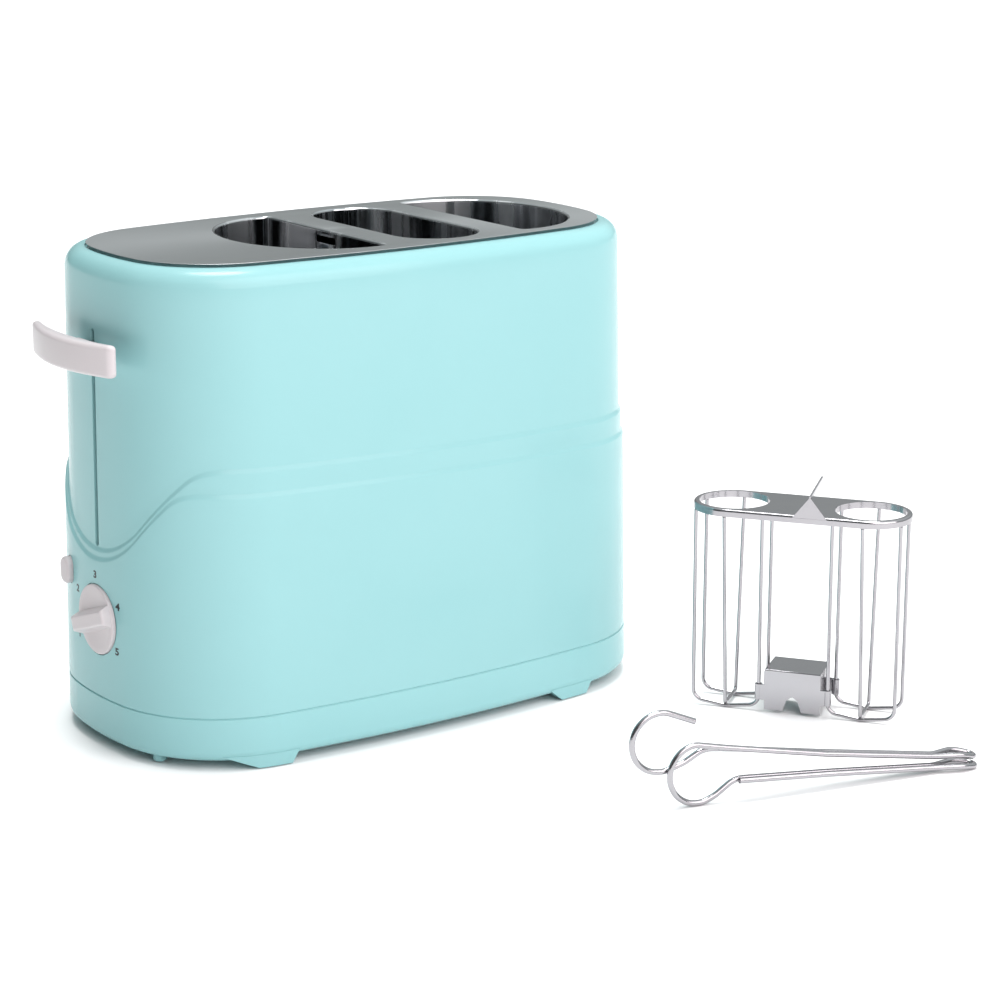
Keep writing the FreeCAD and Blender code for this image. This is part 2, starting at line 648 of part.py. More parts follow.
def make_reflectors():
    """Curved mirrors that carry each bun well's curved side down to the chassis floor."""
    top = body_height - collar_depth - 1
    for name, side in (("left_reflector", -1), ("right_reflector", 1)):
        outer = column(bun_outline(side, collar_lip + 0.1, FLOOR_TOP), top - FLOOR_TOP)
        inner = column(bun_outline(side, collar_lip + 0.1 - steel, FLOOR_TOP - 1), top - FLOOR_TOP + 2)
        sheet_metal = outer.cut(inner)
        straight = well_offset + side * (bun_well_inner + 2)
        x0, x1 = sorted((straight, straight - side * 20))
        sheet_metal = sheet_metal.cut(box(x0, x1, -60, 60, 0, 300))
        x0, x1 = sorted((TAB_X[side] - TAB_WIDTH / 2 - 1, TAB_X[side] + TAB_WIDTH / 2 + 1))
        low = RACK_REST - lever_travel - 4
        sheet_metal = sheet_metal.cut(box(x0, x1, -60, 60, low, top + 1))
        parts[name] = sheet_metal


TAB_WIDTH = 8.0
TAB_X = {-1: WELL_BUN_LEFT - 12.0, 1: WELL_BUN_RIGHT + 12.0}


def make_guards():
    """Sheet frames with upright bars between the bread and the heating cards."""
    for name, x in GUARD_X.items():
        frame = box(x, x + steel, -CARD_HALF, CARD_HALF, FLOOR_TOP, GUARD_TOP)
        bars = 7
        pitch = 2 * (CARD_HALF - 3) / bars
        for bar in range(bars):
            y = -CARD_HALF + 3 + bar * pitch
            frame = frame.cut(box(x - 1, x + 2, y + 1, y + pitch - 1, card_bottom + 24, GUARD_TOP - 6))
        parts[name] = frame


def make_elements():
    for index, name in enumerate(("left", "right")):
        x = CARD_X[index]
        half = card_thickness / 2
        parts["element_card_" + name] = box(x - half, x + half, -CARD_HALF + 0.6, CARD_HALF - 0.6,
                                            card_bottom, CARD_TOP)
        loops = []
        edge = CARD_HALF - 0.6
        for row in range(ribbon_rows):
            z = ribbon_first + row * ribbon_pitch
            loop = box(x - half - ribbon_thickness, x + half + ribbon_thickness, -edge - ribbon_thickness,
                       edge + ribbon_thickness, z, z + ribbon_height)
            loops.append(loop.cut(box(x - half, x + half, -edge, edge, z - 1, z + 3)))
            if row:
                side = 1 if row % 2 else -1
                y0, y1 = sorted((side * edge, side * (edge + ribbon_thickness)))
                loops.append(box(x - half, x + half, y0, y1, z - ribbon_pitch, z))
        parts["heating_ribbon_" + name] = fused(loops)
        channel = box(x - 4, x + 4, -CARD_HALF, CARD_HALF, FLOOR_TOP, card_bottom + 6)
        channel = channel.cut(box(x - 4 + steel, x + 4 - steel, -60, 60, FLOOR_TOP + steel, card_bottom + 7))
        rest = box(x - 4 + steel, x + 4 - steel, -CARD_HALF, CARD_HALF, card_bottom - 2, card_bottom)
        parts["card_channel_" + name] = channel.fuse(rest)


# ---------------------------------------------------------------- carriage

SLIDER_FACE = OVEN_LEFT - slider_gap
ROD_X = OVEN_LEFT - rod_gap
ROD_TOP = CHASSIS_TOP - rod_bracket_drop
SLIDER_LOW, SLIDER_HIGH = RACK_REST - arm_height, RACK_REST + 14
KEEPER = 3.0
KEEPER_FLOOR = SLIDER_LOW - KEEPER


def make_carriage():
    half = bracket_half_width
    back = box(SLIDER_FACE - bracket, SLIDER_FACE, -ARM_MIDDLE - arm_thickness / 2,
               ARM_MIDDLE + arm_thickness / 2, SLIDER_LOW, SLIDER_LOW + arm_height)
    back = back.fuse(box(SLIDER_FACE - bracket, SLIDER_FACE, -half, half, SLIDER_LOW, SLIDER_HIGH))
    for z in (SLIDER_LOW, SLIDER_HIGH - bracket):
        back = back.fuse(box(ROD_X - 8, SLIDER_FACE, -half, half, z, z + bracket))
    for side in (-1, 1):
        back = back.cut(rod(bushing_radius, (ROD_X, side * rod_spacing, SLIDER_LOW - 1),
                            (ROD_X, side * rod_spacing, SLIDER_HIGH + 1)))
    parts["carriage_slider"] = back.removeSplitter()
    bushings = []
    for y in (-rod_spacing, rod_spacing):
        bushings.append(tube(bushing_radius, rod_radius + running_clearance,
                             (ROD_X, y, SLIDER_LOW - 1.5), (ROD_X, y, SLIDER_HIGH + 1.5)))
    parts["slider_bushings"] = group(bushings)
    for name, side in (("front_lift_arm", -1), ("rear_lift_arm", 1)):
        y0, y1 = sorted((side * (ARM_MIDDLE - arm_thickness / 2), side * (ARM_MIDDLE + arm_thickness / 2)))
        parts[name] = box(SLIDER_FACE, TAB_X[1] + TAB_WIDTH, y0, y1, SLIDER_LOW, SLIDER_LOW + arm_height)
    parts["latch_keeper"] = box(ROD_X - 7, ROD_X + 7, -9, 9, KEEPER_FLOOR, SLIDER_LOW)
    arm_z = HANDLE_Z - lever_arm_height / 2
    parts["lever_arm"] = box(LEVER_END, SLIDER_FACE - bracket, -lever_arm_thickness / 2,
                             lever_arm_thickness / 2, arm_z, arm_z + lever_arm_height)


def make_racks():
    top = RACK_REST + sheet
    for name, side in (("left_bun_rack", -1), ("right_bun_rack", 1)):
        plate = column(bun_outline(side, -rack_clearance, RACK_REST), sheet)
        for row in range(4):
            x = well_offset + side * (bun_well_inner + 9 + row * 9)
            half = 30 - row * 3.5
            plate = plate.cut(box(x - 1.5, x + 1.5, -half, half, RACK_REST - 1, top + 1))
        x = TAB_X[side]
        tab = box(x - TAB_WIDTH / 2, x + TAB_WIDTH / 2, -ARM_MIDDLE - arm_thickness / 2,
                  ARM_MIDDLE + arm_thickness / 2, RACK_REST, top)
        parts[name] = plate.fuse(tab).removeSplitter()
    plate = column(obround(well_offset, 0, cage_well_half_length - rack_clearance,
                           cage_well_half_width - rack_clearance, RACK_REST), sheet)
    tab = box(well_offset - 5, well_offset + 5, -ARM_MIDDLE - arm_thickness / 2,
              ARM_MIDDLE + arm_thickness / 2, RACK_REST, top)
    for side in (-1, 1):
        plate = plate.cut(rod(9, (well_offset, side * 27, 0), (well_offset, side * 27, 300)))
    start = well_offset - cage_well_half_width + 4
    saddle = prism([(start, -4, top), (start, 4, top), (start, 1.2, top + 5), (start, -1.2, top + 5)],
                   (2 * cage_well_half_width - 8, 0, 0))
    parts["cage_rack"] = plate.multiFuse([tab, saddle]).removeSplitter()


HANDLE_WALL = -(plate_half_length + flare(HANDLE_Z))
HANDLE_INNER = HANDLE_WALL - handle_standoff
LEVER_END = HANDLE_INNER - handle_thickness + 3


def make_lever_handle():
    """Curved paddle, bowed outwards, with a short boss that takes the lever arm."""
    z0 = HANDLE_Z - handle_height / 2
    bow = handle_half_width

    def arc(x_middle, x_end, y_end):
        return Part.Arc(vec(x_end, -y_end, z0), vec(x_middle, 0, z0), vec(x_end, y_end, z0)).toShape()

    outer_end = HANDLE_INNER + handle_sagitta - handle_thickness * 0.82
    inner_end = outer_end + handle_end_thickness
    inner_edge = arc(HANDLE_INNER, inner_end, bow - 1.5)
    outer_edge = arc(HANDLE_INNER - handle_thickness, outer_end, bow)
    caps = [Part.makeLine(vec(inner_end, side * (bow - 1.5), z0), vec(outer_end, side * bow, z0))
            for side in (-1, 1)]
    outline = Part.Wire(Part.__sortEdges__([inner_edge, outer_edge] + caps))
    paddle = Part.Face(outline).extrude(vec(0, 0, handle_height))
    paddle = paddle.makeFillet(handle_rounding, paddle.Edges)
    boss_end = HANDLE_WALL - draft * (lever_travel + 8) - clear - 0.2
    boss = box(HANDLE_INNER - 3, boss_end, -7, 7, HANDLE_Z - 5, HANDLE_Z + 5)
    boss = boss.makeFillet(1.2, [edge for edge in boss.Edges if edge.BoundBox.XLength > 3])
    paddle = paddle.fuse(boss)
    half = lever_arm_height / 2
    pocket = box(LEVER_END, 0, -lever_arm_thickness / 2, lever_arm_thickness / 2,
                 HANDLE_Z - half, HANDLE_Z + half)
    parts["lever_handle"] = paddle.cut(pocket)


SPRING_RADIUS, SPRING_WIRE = 4.0, 0.5
SPRING_TURNS, SPRING_SIDES = 9, 6


def make_guides():
    parts["guide_rods"] = group([rod(rod_radius, (ROD_X, side * rod_spacing, shelf_height),
                                     (ROD_X, side * rod_spacing, ROD_TOP)) for side in (-1, 1)])
    face = OVEN_LEFT - steel
    half = bracket_half_width
    shelf = box(ROD_X - 12, face, -half, half, shelf_height - bracket, shelf_height)
    parts["latch_bracket"] = shelf.fuse(box(face - bracket, face, -half, half,
                                            shelf_height - bracket, shelf_height + 14))
    top = box(ROD_X - 8, face, -half, half, ROD_TOP, ROD_TOP + bracket)
    parts["rod_bracket"] = top.fuse(box(face - bracket, face, -half, half, ROD_TOP - 12, ROD_TOP + bracket))
    low = SLIDER_HIGH + SPRING_WIRE + 0.1
    rise = (ROD_TOP - SPRING_WIRE - 0.1 - low) / (SPRING_TURNS * SPRING_SIDES)
    corner = SPRING_RADIUS / math.cos(math.pi / SPRING_SIDES)
    coil = []
    for index in range(SPRING_TURNS * SPRING_SIDES + 1):
        angle = 2 * math.pi * index / SPRING_SIDES
        coil.append((ROD_X + corner * math.cos(angle), corner * math.sin(angle), low + index * rise))
    parts["carriage_spring"] = bent_wire(coil, SPRING_WIRE, SPRING_RADIUS)


def make_latch():
    top = KEEPER_FLOOR - lever_travel - clear
    x0, x1 = ROD_X - 7, ROD_X + 7
    core = box(x0, x1, -10, 10, shelf_height, top)
    for side in (-1, 1):
        y0, y1 = sorted((side * 3, side * 7.5))
        core = core.cut(box(x0 - 1, x1 + 1, y0, y1, shelf_height + 4, top + 1))
    parts["magnet_core"] = core
    coil = box(x0 - 3, x1 + 3, -6.8, 6.8, shelf_height + 4, top - 2).cut(
        box(x0, x1, -3, 3, shelf_height + 3, top))
    parts["magnet_coil"] = coil


# ---------------------------------------------------------------- controls

DIAL_BACK = DIAL_RECESS - clear
SHAFT = 3.0
SHAFT_END = DIAL_BACK - 4.0
PLUNGER = 4.8                  # tip of the cancel switch's plunger, from the board


def make_board():
    board = box(BOARD_X, BOARD_X + BOARD, -board_half_width, board_half_width, board_bottom, board_top)
    parts["control_board"] = board
    body = box(BOARD_X - 9, BOARD_X, dial_y - 8, dial_y + 8, dial_z - 8, dial_z + 8)
    body = body.fuse(rod(3.8, (BOARD_X - 9, dial_y, dial_z), (BOARD_X - 13, dial_y, dial_z)))
    parts["timer_pot"] = body.cut(rod(SHAFT + running_clearance, (BOARD_X - 14, dial_y, dial_z),
                                      (BOARD_X - 4, dial_y, dial_z)))
    switch = box(BOARD_X - 4, BOARD_X, button_y - 3, button_y + 3, button_z - 3, button_z + 3)
    parts["cancel_switch"] = switch.fuse(rod(1.7, (BOARD_X - PLUNGER, button_y, button_z),
                                             (BOARD_X, button_y, button_z)))
    parts["terminal_block"] = box(BOARD_X + BOARD, BOARD_X + BOARD + 12, 5, 26, 34, 46)
    relay = box(BOARD_X + BOARD, BOARD_X + BOARD + 13, -28, -9, 34, 46)
    can = rod(5, (BOARD_X + BOARD, 0, 70), (BOARD_X + BOARD + 11, 0, 70))
    parts["board_components"] = group([relay, can])


def make_dial():
    axis = (dial_y, dial_z)
    disc = rod(dial_radius, (DIAL_BACK, *axis), (DIAL_BACK - dial_disc, *axis))
    dish = Part.makeSphere(90.0, vec(DIAL_BACK - dial_disc - 90.0 + 0.9, *axis))
    edge = [e for e in disc.Edges if e.BoundBox.XMax < DIAL_BACK - dial_disc + 0.01]
    disc = disc.makeFillet(0.8, edge).cut(dish)
    half = dial_grip_width / 2
    front = DIAL_BACK - dial_disc - dial_grip_height
    grip = prism([(DIAL_BACK - 1, dial_y, dial_z - half - 1.2), (front, dial_y, dial_z - half + 1.0),
                  (front, dial_y, dial_z + half - 1.0), (DIAL_BACK - 1, dial_y, dial_z + half + 1.2)],
                 (0, 2 * dial_radius, 0))
    grip.translate(vec(0, -dial_radius, 0))
    grip = grip.common(rod(dial_radius - 0.3, (DIAL_BACK, *axis), (front - 1, *axis)))
    ends = [e for e in grip.Edges if e.BoundBox.XMax < front + 0.01]
    grip = grip.makeFillet(1.4, ends)
    knob = disc.fuse(grip)
    knob = knob.cut(rod(SHAFT + running_clearance, (DIAL_BACK + 1, *axis), (SHAFT_END, *axis)))
    knob.rotate(vec(0, *axis), vec(1, 0, 0), -dial_rest_angle)
    parts["dial_knob"] = knob
    parts["dial_shaft"] = rod(SHAFT, (BOARD_X - 5, *axis), (SHAFT_END, *axis))


def make_button():
    wall_x = end_wall_x(button_y, button_z)
    front = wall_x - button_proud
    inside = end_wall_x(button_y + button_width, button_z + button_height, -wall) + clear
    cap = button_prism(0, front, inside + 1)
    cap = cap.makeFillet(1.5, [e for e in cap.Edges if e.BoundBox.XMax < front + 0.01])
    flange = button_prism(1.6, inside, inside + 1.4)
    stem_end = BOARD_X - PLUNGER - button_travel - clear
    stem = rod(2.0, (inside, button_y, button_z), (stem_end, button_y, button_z))
    parts["cancel_button"] = cap.multiFuse([flange, stem]).removeSplitter()


# ---------------------------------------------------------------- sausage cage

def bent_wire(points, radius, bend):
    """Round wire along straight runs joined by tangent arcs."""
    nodes = [vec(*p) for p in points]
    edges = []
    start = nodes[0]
    for before, node, after in zip(nodes, nodes[1:], nodes[2:]):
        into, out = (before - node), (after - node)
        turn = math.pi - into.getAngle(out)
        reach = min(bend * math.tan(turn / 2), into.Length * 0.48, out.Length * 0.48)
        rounding = reach / math.tan(turn / 2)
        first, last = node + into.normalize() * reach, node + out.normalize() * reach
        toward = (into + out).normalize()
        middle = node + toward * (rounding / math.cos(turn / 2) - rounding)
        edges.append(Part.makeLine(start, first))
        edges.append(Part.Arc(first, middle, last).toShape())
        start = last
    edges.append(Part.makeLine(start, nodes[-1]))
    path = Part.Wire(edges)
    heading = nodes[1] - nodes[0]
    section = Part.Wire(Part.makeCircle(radius, nodes[0], heading))
    return path.makePipeShell([section], True, False)


def place_cage(shape):
    shape.rotate(vec(0, 0, 0), vec(0, 0, 1), cage_yaw)
    shape.translate(vec(cage_place[0], cage_place[1], 0))
    return shape


def along_x_obround(half_length, half_width, z):
    wire = obround(0, 0, half_length, half_width, z)
    wire.rotate(vec(0, 0, z), vec(0, 0, 1), 90)
    return wire


def make_cage():
    top, low = cage_height, cage_height - cage_lip
    half_l, half_w = CAGE_LENGTH / 2, CAGE_WIDTH / 2
    cap = column(along_x_obround(half_l, half_w, low), cage_lip)
    cap = cap.makeFillet(1.2, [e for e in cap.Edges if e.BoundBox.ZMin > top - 0.01])
    inside = column(along_x_obround(half_l - cage_sheet, half_w - cage_sheet, low - 1),
                    cage_lip - cage_sheet + 1)
    frame = cap.cut(inside)
    for side in (-1, 1):
        u = side * HOLE_U
        frame = frame.cut(rod(HOLE_RADIUS, (u, 0, low - 1), (u, 0, top + 1)))
        turned = tube(HOLE_RADIUS + cage_sheet, HOLE_RADIUS, (u, 0, low + 0.6), (u, 0, top - 0.4))
        frame = frame.fuse(turned.common(cap))
    frame = frame.removeSplitter()
    flap = prism([(-7.7, -half_w, top - 1), (7.7, -half_w, top - 1), (0, -half_w, top + 8.6)],
                 (0, cage_sheet, 0))
    tail = prism([(0, -half_w + 0.1, top + 7.2), (0, -half_w + 0.1, top + 9.0), (0, -half_w + 24, top + 12.6),
                  (0, -half_w + 24, top + 11.4)], (cage_sheet, 0, 0))
    tail.translate(vec(-cage_sheet / 2, 0, 0))
    for piece in (flap, tail):
        piece.translate(vec(cage_flap_offset, 0, 0))
    parts["cage_top"] = place_cage(frame.multiFuse([flap, tail]).removeSplitter())
    for name, side in (("cage_wires_left", -1), ("cage_wires_right", 1)):
        parts[name] = place_cage(cage_wires(side * HOLE_U, low))
    parts["cage_bracket"] = place_cage(cage_bracket())


CAGE_LENGTH = 2 * (cage_well_half_length - cage_clearance)
CAGE_WIDTH = 2 * (cage_well_half_width - cage_clearance)
HOLE_RADIUS = CAGE_WIDTH / 2 - cage_rim
HOLE_U = (CAGE_LENGTH - CAGE_WIDTH) / 2 + 0.3
WIRE_SPREAD = HOLE_RADIUS - 0.7                # U wires from the middle of their well, along the cage
EDGE_MIDDLE = (CAGE_WIDTH - cage_sheet) / 2    # middle of the turned rim, from the middle plane
WIRE_V = math.sqrt(EDGE_MIDDLE ** 2 - (WIRE_SPREAD + 0.3) ** 2)
WIRE_INSET = WIRE_V - 0.9      # the front and rear U wires lean in towards their bottoms
WIRE_BEND = 5.0
WIRE_SAG = 2.0
WELD = 0.06                    # weld seam between a wire's end and the plate


def cage_wires(u, low):
    """Front and rear U wires and a tapered cross U, welded where they meet under the well."""
    r = wire_radius
    under_plate = low + cage_lip - cage_sheet - WELD
    outward = 1 if u > 0 else -1
    inner, outer = u - outward * WIRE_SPREAD, u + outward * WIRE_SPREAD
    wires = []
    for side in (-1, 1):
        v, v_top = side * WIRE_INSET, side * WIRE_V
        wires.append(bent_wire([(inner, v_top, under_plate), (inner, v, r + WIRE_SAG), (u, v, r),
                                (outer, v, r + WIRE_SAG), (outer, v_top, low - WELD)], r, WIRE_BEND))
    narrow = WIRE_INSET + 1.0
    wires.append(bent_wire([(u, -EDGE_MIDDLE, low - WELD), (u, -narrow, r * 2.9), (u, narrow, r * 2.9),
                            (u, EDGE_MIDDLE, low - WELD)], r, 2.0))
    return wires[0].multiFuse(wires[1:])


def cage_bracket():
    """Folded sheet between the wells, with V notches that sit over the rack's saddle."""
    half_u, half_v = HOLE_U - WIRE_SPREAD - 3.0, WIRE_INSET + wire_radius
    top, low = 20.5, 1.6
    outer = box(-half_u, half_u, -half_v - cage_sheet, half_v + cage_sheet, low, top)
    inner = box(-half_u - 1, half_u + 1, -half_v, half_v, low - 1, top - cage_sheet)
    folded = outer.cut(inner)
    folded = folded.makeFillet(0.6, [e for e in folded.Edges
                                     if e.BoundBox.ZMin > top - 0.01 and e.BoundBox.XLength > half_u])
    notch = prism([(-4.6, -30, low - 1), (4.6, -30, low - 1), (2.6, -30, low + 5), (0, -30, low + 7.2),
                   (-2.6, -30, low + 5)], (0, 60, 0))
    folded = folded.cut(notch)
    cheek = box(half_u - cage_sheet, half_u, -half_v, half_v, low + 3, top - cage_sheet)
    folded = folded.fuse(cheek)
    clips = []
    for side_u in (-1, 1):
        for side_v in (-1, 1):
            u = side_u * (HOLE_U - WIRE_SPREAD)
            v = side_v * (WIRE_INSET + 0.06)
            sleeve = tube(wire_radius + cage_sheet, wire_radius + 0.15, (u, v, 6), (u, v, 13))
            x0, x1 = sorted((side_u * (half_u - 0.5), u - side_u * wire_radius))
            y0, y1 = sorted((side_v * half_v, side_v * (half_v + cage_sheet)))
            clips += [sleeve, box(x0, x1, y0, y1, 6, 13)]
    return folded.multiFuse(clips).removeSplitter()


# ---------------------------------------------------------------- tongs

HOOK = (-15.0, 28.6, 12.6)     # middle and radius of the open hook, along the tongs and upwards
RING = (1.0, 14.0, 12.7)       # middle and radius of the spring ring
TONG_GAP = 0.15                # between the two strands of an arm
TONG_LENGTH = 130.2
TIP_HALF_WIDTH = 4.2


def circle_points(circle, first, last, count, across):
    """Points just outside an arc of a loop, between two angles in degrees."""
    s, z, radius = circle
    step = math.radians(last - first) / count
    reach = radius / math.cos(step / 2)
    angles = [math.radians(first) + (index + 0.5) * step for index in range(count)]
    return [(s + reach * math.cos(angle), across, z + reach * math.sin(angle)) for angle in angles]


def tip_points(middle, far, z, z_far):
    """The loop at the end of an arm, from its rear strand round to its front strand."""
    strand = tong_radius + TONG_GAP / 2
    back, front = middle + strand, middle - strand
    wide_back, wide_front = middle + TIP_HALF_WIDTH, middle - TIP_HALF_WIDTH
    return [(far - 19, back, z), (far - 8, wide_back, z), (far, wide_back * 0.6 + middle * 0.4, z_far),
            (far, wide_front * 0.6 + middle * 0.4, z_far), (far - 8, wide_front, z), (far - 19, front, z)]


def make_tongs():
    """One springy wire: each arm is a narrow loop of two strands, and the ring joins the arms."""
    r = tong_radius
    strand = 2 * r + TONG_GAP
    rear, middle, front = strand, 0.0, -strand
    upper_tip = tip_points((rear + middle) / 2, TONG_LENGTH + 1, 6.6, 4.5)
    lower_tip = tip_points((middle + front) / 2, TONG_LENGTH, 2.6, r)
    route = [(0.3, rear, 35.7)] + circle_points(HOOK, 70, 292, 7, rear)
    route += [(-4.0, rear, 18.6), (4.5, rear, 23.4), (12.5, rear, 22.4), (60, rear, 14.6)]
    route += upper_tip + [(60, middle, 14.6), (14.0, middle, 23.4)]
    route += circle_points(RING, 88, 322, 8, middle)
    route += [(17.6, middle, 9.6), (60, middle, 6.8)] + lower_tip + [(60, front, 6.8), (18.5, front, 9.5)]
    wire = bent_wire(route, r, 11.0)
    wire.rotate(vec(0, 0, 0), vec(0, 0, 1), tong_yaw)
    wire.translate(vec(tong_place[0], tong_place[1], 0))
    parts["tongs"] = wire


# ---------------------------------------------------------------- build

def centre_set():
    """Moves the origin from under the housing to under the middle of the set's footprint."""
    bounds = group(list(parts.values())).optimalBoundingBox(False, False)
    shift = vec(-(bounds.XMin + bounds.XMax) / 2, -(bounds.YMin + bounds.YMax) / 2, 0)
    for shape in parts.values():
        shape.translate(shift)
    print("shift", round(shift.x, 3), round(shift.y, 3))


def main():
    make_outer_shell()
    make_base()
    make_crumb_tray()
    make_cord_bushing()
    make_top_plate()
    make_chassis()
    make_reflectors()
    make_guards()
    make_elements()
    make_carriage()
    make_racks()
    make_lever_handle()
    make_guides()
    make_latch()
    make_board()
    make_dial()
    make_button()
    make_cage()
    make_tongs()
    centre_set()
    os.makedirs("parts", exist_ok=True)
    for name, shape in parts.items():
        shape.exportStep("parts/" + name + ".step")
        solids = shape.Solids
        print(name, len(solids), "valid" if shape.isValid() else "INVALID", round(shape.Volume, 1))


main()
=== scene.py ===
# %% [markdown]
# # A hot dog toaster with its sausage cage and tongs
# The toaster is a moulded shell with a wide rounded plan, a steel plate on top with three drawn wells,
# and three controls at one end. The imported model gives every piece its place, so this lesson starts
# from it and spends its effort on finishes, and on the few forms that deserve a finer surface.

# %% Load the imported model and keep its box
import json
import math

import bmesh
import bpy
import numpy as np
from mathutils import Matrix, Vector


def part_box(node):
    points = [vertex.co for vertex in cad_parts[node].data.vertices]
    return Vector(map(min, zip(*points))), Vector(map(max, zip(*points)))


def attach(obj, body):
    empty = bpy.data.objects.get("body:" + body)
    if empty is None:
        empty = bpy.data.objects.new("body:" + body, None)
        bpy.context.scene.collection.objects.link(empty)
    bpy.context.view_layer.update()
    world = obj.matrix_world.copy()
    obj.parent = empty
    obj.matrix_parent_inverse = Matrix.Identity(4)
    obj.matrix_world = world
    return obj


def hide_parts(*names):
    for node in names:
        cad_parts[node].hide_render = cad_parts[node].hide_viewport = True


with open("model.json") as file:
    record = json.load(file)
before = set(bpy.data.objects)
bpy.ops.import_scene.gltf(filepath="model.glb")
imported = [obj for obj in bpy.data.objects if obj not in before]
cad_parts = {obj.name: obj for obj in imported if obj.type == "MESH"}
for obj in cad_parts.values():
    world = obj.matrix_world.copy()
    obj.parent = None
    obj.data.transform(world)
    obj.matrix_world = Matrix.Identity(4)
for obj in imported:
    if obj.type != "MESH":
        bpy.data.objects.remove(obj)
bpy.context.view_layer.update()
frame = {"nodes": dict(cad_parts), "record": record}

plate_low, plate_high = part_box("top_plate")
MM = 0.001
MIDDLE_X = (plate_low[0] + plate_high[0]) / 2
MIDDLE_Y = (plate_low[1] + plate_high[1]) / 2


# %% [markdown]
# ## Camera first
# The camera stands to the front of the lever end, a little above the top plate. A long lens keeps the
# upright edges nearly parallel, as in a catalogue picture. The place is given from the housing's middle.

# %% The camera
EYE = (-648.0, -1012.6, 402.7)       # millimetres from the housing's middle on the floor
HEADING, DIP = 35.82, 14.604         # degrees: turned from +Y towards +X, and looking down
SENSOR = 36.0                        # millimetres
FOCAL = SENSOR * 2.7242              # the focal length in picture widths, times the sensor's width


def link(name, data):
    """Puts a mesh, curve, text, light or camera into the scene as an object."""
    thing = bpy.data.objects.new(name, data)
    bpy.context.scene.collection.objects.link(thing)
    return thing


camera_data = bpy.data.cameras.new("camera")
camera_data.lens = FOCAL
camera_data.sensor_width = SENSOR
camera_data.clip_start, camera_data.clip_end = 0.05, 100.0
camera = link("camera", camera_data)
camera.location = (MIDDLE_X + EYE[0] * MM, MIDDLE_Y + EYE[1] * MM, EYE[2] * MM)
camera.rotation_euler = (math.radians(90 - DIP), 0, math.radians(-HEADING))
bpy.context.scene.camera = camera
print("camera lens", round(FOCAL, 1), "mm")


# %% [markdown]
# ## Sums on sockets
# A material is a graph, but graphs are hard to read as text. This small class wraps one output socket
# and overloads the operators, so that `1 - mask * 0.3` adds the two Math nodes it stands for.

# %% A socket that can stand in a formula
def feed(tree, slot, value):
    """Links a reading to a socket, or sets the socket to a plain value."""
    if isinstance(value, Reading):
        tree.links.new(value.socket, slot)
    else:
        slot.default_value = value


class Reading:
    """One output socket. Each operator adds one Math node and gives its output back."""

    def __init__(self, tree, socket):
        self.tree, self.socket = tree, socket

    def math(self, operation, *terms):
        adder = self.tree.nodes.new("ShaderNodeMath")
        adder.operation = operation
        for slot, term in zip(adder.inputs, terms):
            feed(self.tree, slot, term)
        return Reading(self.tree, adder.outputs[0])

    def __add__(self, other):
        return self.math("ADD", self, other)

    def __sub__(self, other):
        return self.math("SUBTRACT", self, other)

    def __rsub__(self, other):
        return self.math("SUBTRACT", other, self)

    def __mul__(self, other):
        return self.math("MULTIPLY", self, other)

    __radd__, __rmul__ = __add__, __mul__


print("a reading takes + - * with a number or another reading on either side")


# %% [markdown]
# ## One material in the making
# `Graph.add` is the only way any other node gets in: it takes the node's type, its settings and the
# values or links of its sockets. `Finish` starts a material on such a graph, and `set` feeds its shader.
# Steady values such as coat roughness stay plain numbers; only what changes over the surface is linked.

# %% Graphs and finishes
class Graph:
    """A node tree that is being filled."""

    def __init__(self, tree):
        self.tree = tree

    def add(self, kind, inputs=None, output=0, stops=None, **settings):
        """Adds a node, sets it up, feeds its sockets and gives one output back as a reading."""
        made = self.tree.nodes.new("ShaderNode" + kind)
        for name, value in settings.items():
            setattr(made, name, value)
        if stops:
            ramp = made.color_ramp
            while len(ramp.elements) < len(stops):
                ramp.elements.new(0.5)
            for element, (position, grey) in zip(ramp.elements, stops):
                element.position, element.color = position, (grey, grey, grey, 1)
        for name, value in (inputs or {}).items():
            feed(self.tree, made.inputs[name], value)
        return Reading(self.tree, made.outputs[output])


class Finish(Graph):
    """A material that is being made, painted in object coordinates."""

    def __init__(self, name, **steady):
        self.material = bpy.data.materials.new(name)
        self.material.use_nodes = True
        super().__init__(self.material.node_tree)
        self.shader = self.tree.nodes["Principled BSDF"]
        self.place = self.add("TexCoord", output="Object")
        self.set(**steady)

    def set(self, **values):
        """Feeds the shader's sockets, whose names are written with underscores."""
        for name, value in values.items():
            feed(self.tree, self.shader.inputs[name.replace("_", " ")], value)

    def noise(self, scale, stretch=(1, 1, 1), detail=3.0):
        """Noise between about 0.3 and 0.7, in metres, drawn out along the axes with a small stretch."""
        place = self.place
        if stretch != (1, 1, 1):
            place = self.add("Mapping", {"Vector": place, "Scale": stretch})
        return self.add("TexNoise", {"Vector": place, "Scale": scale, "Detail": detail, "Roughness": 0.55})

    def ramp(self, value, *stops):
        """A grey for each value, straight between the stops (position, grey)."""
        return self.add("ValToRGB", {"Fac": value}, stops=stops)

    def mix(self, mask, first, second):
        """A colour between two, by a mask. Sockets 6 and 7 are the Mix node's colours."""
        return self.add("Mix", {0: mask, 6: first, 7: second}, output=2, data_type="RGBA")

    def bump(self, height, depth):
        """Tilts the surface by a height that is scaled to a depth in metres."""
        self.set(Normal=self.add("Bump", {"Height": height, "Distance": depth, "Strength": 1.0}))


def tone(red, green, blue):
    """A colour from 0 to 255 screen values to the light values that shaders use."""
    def light(value):
        value = value / 255
        return value / 12.92 if value <= 0.04045 else ((value + 0.055) / 1.055) ** 2.4
    return light(red), light(green), light(blue), 1.0


finishes = {}
print("middle grey on a screen is", round(tone(128, 128, 128)[0], 3), "as light")


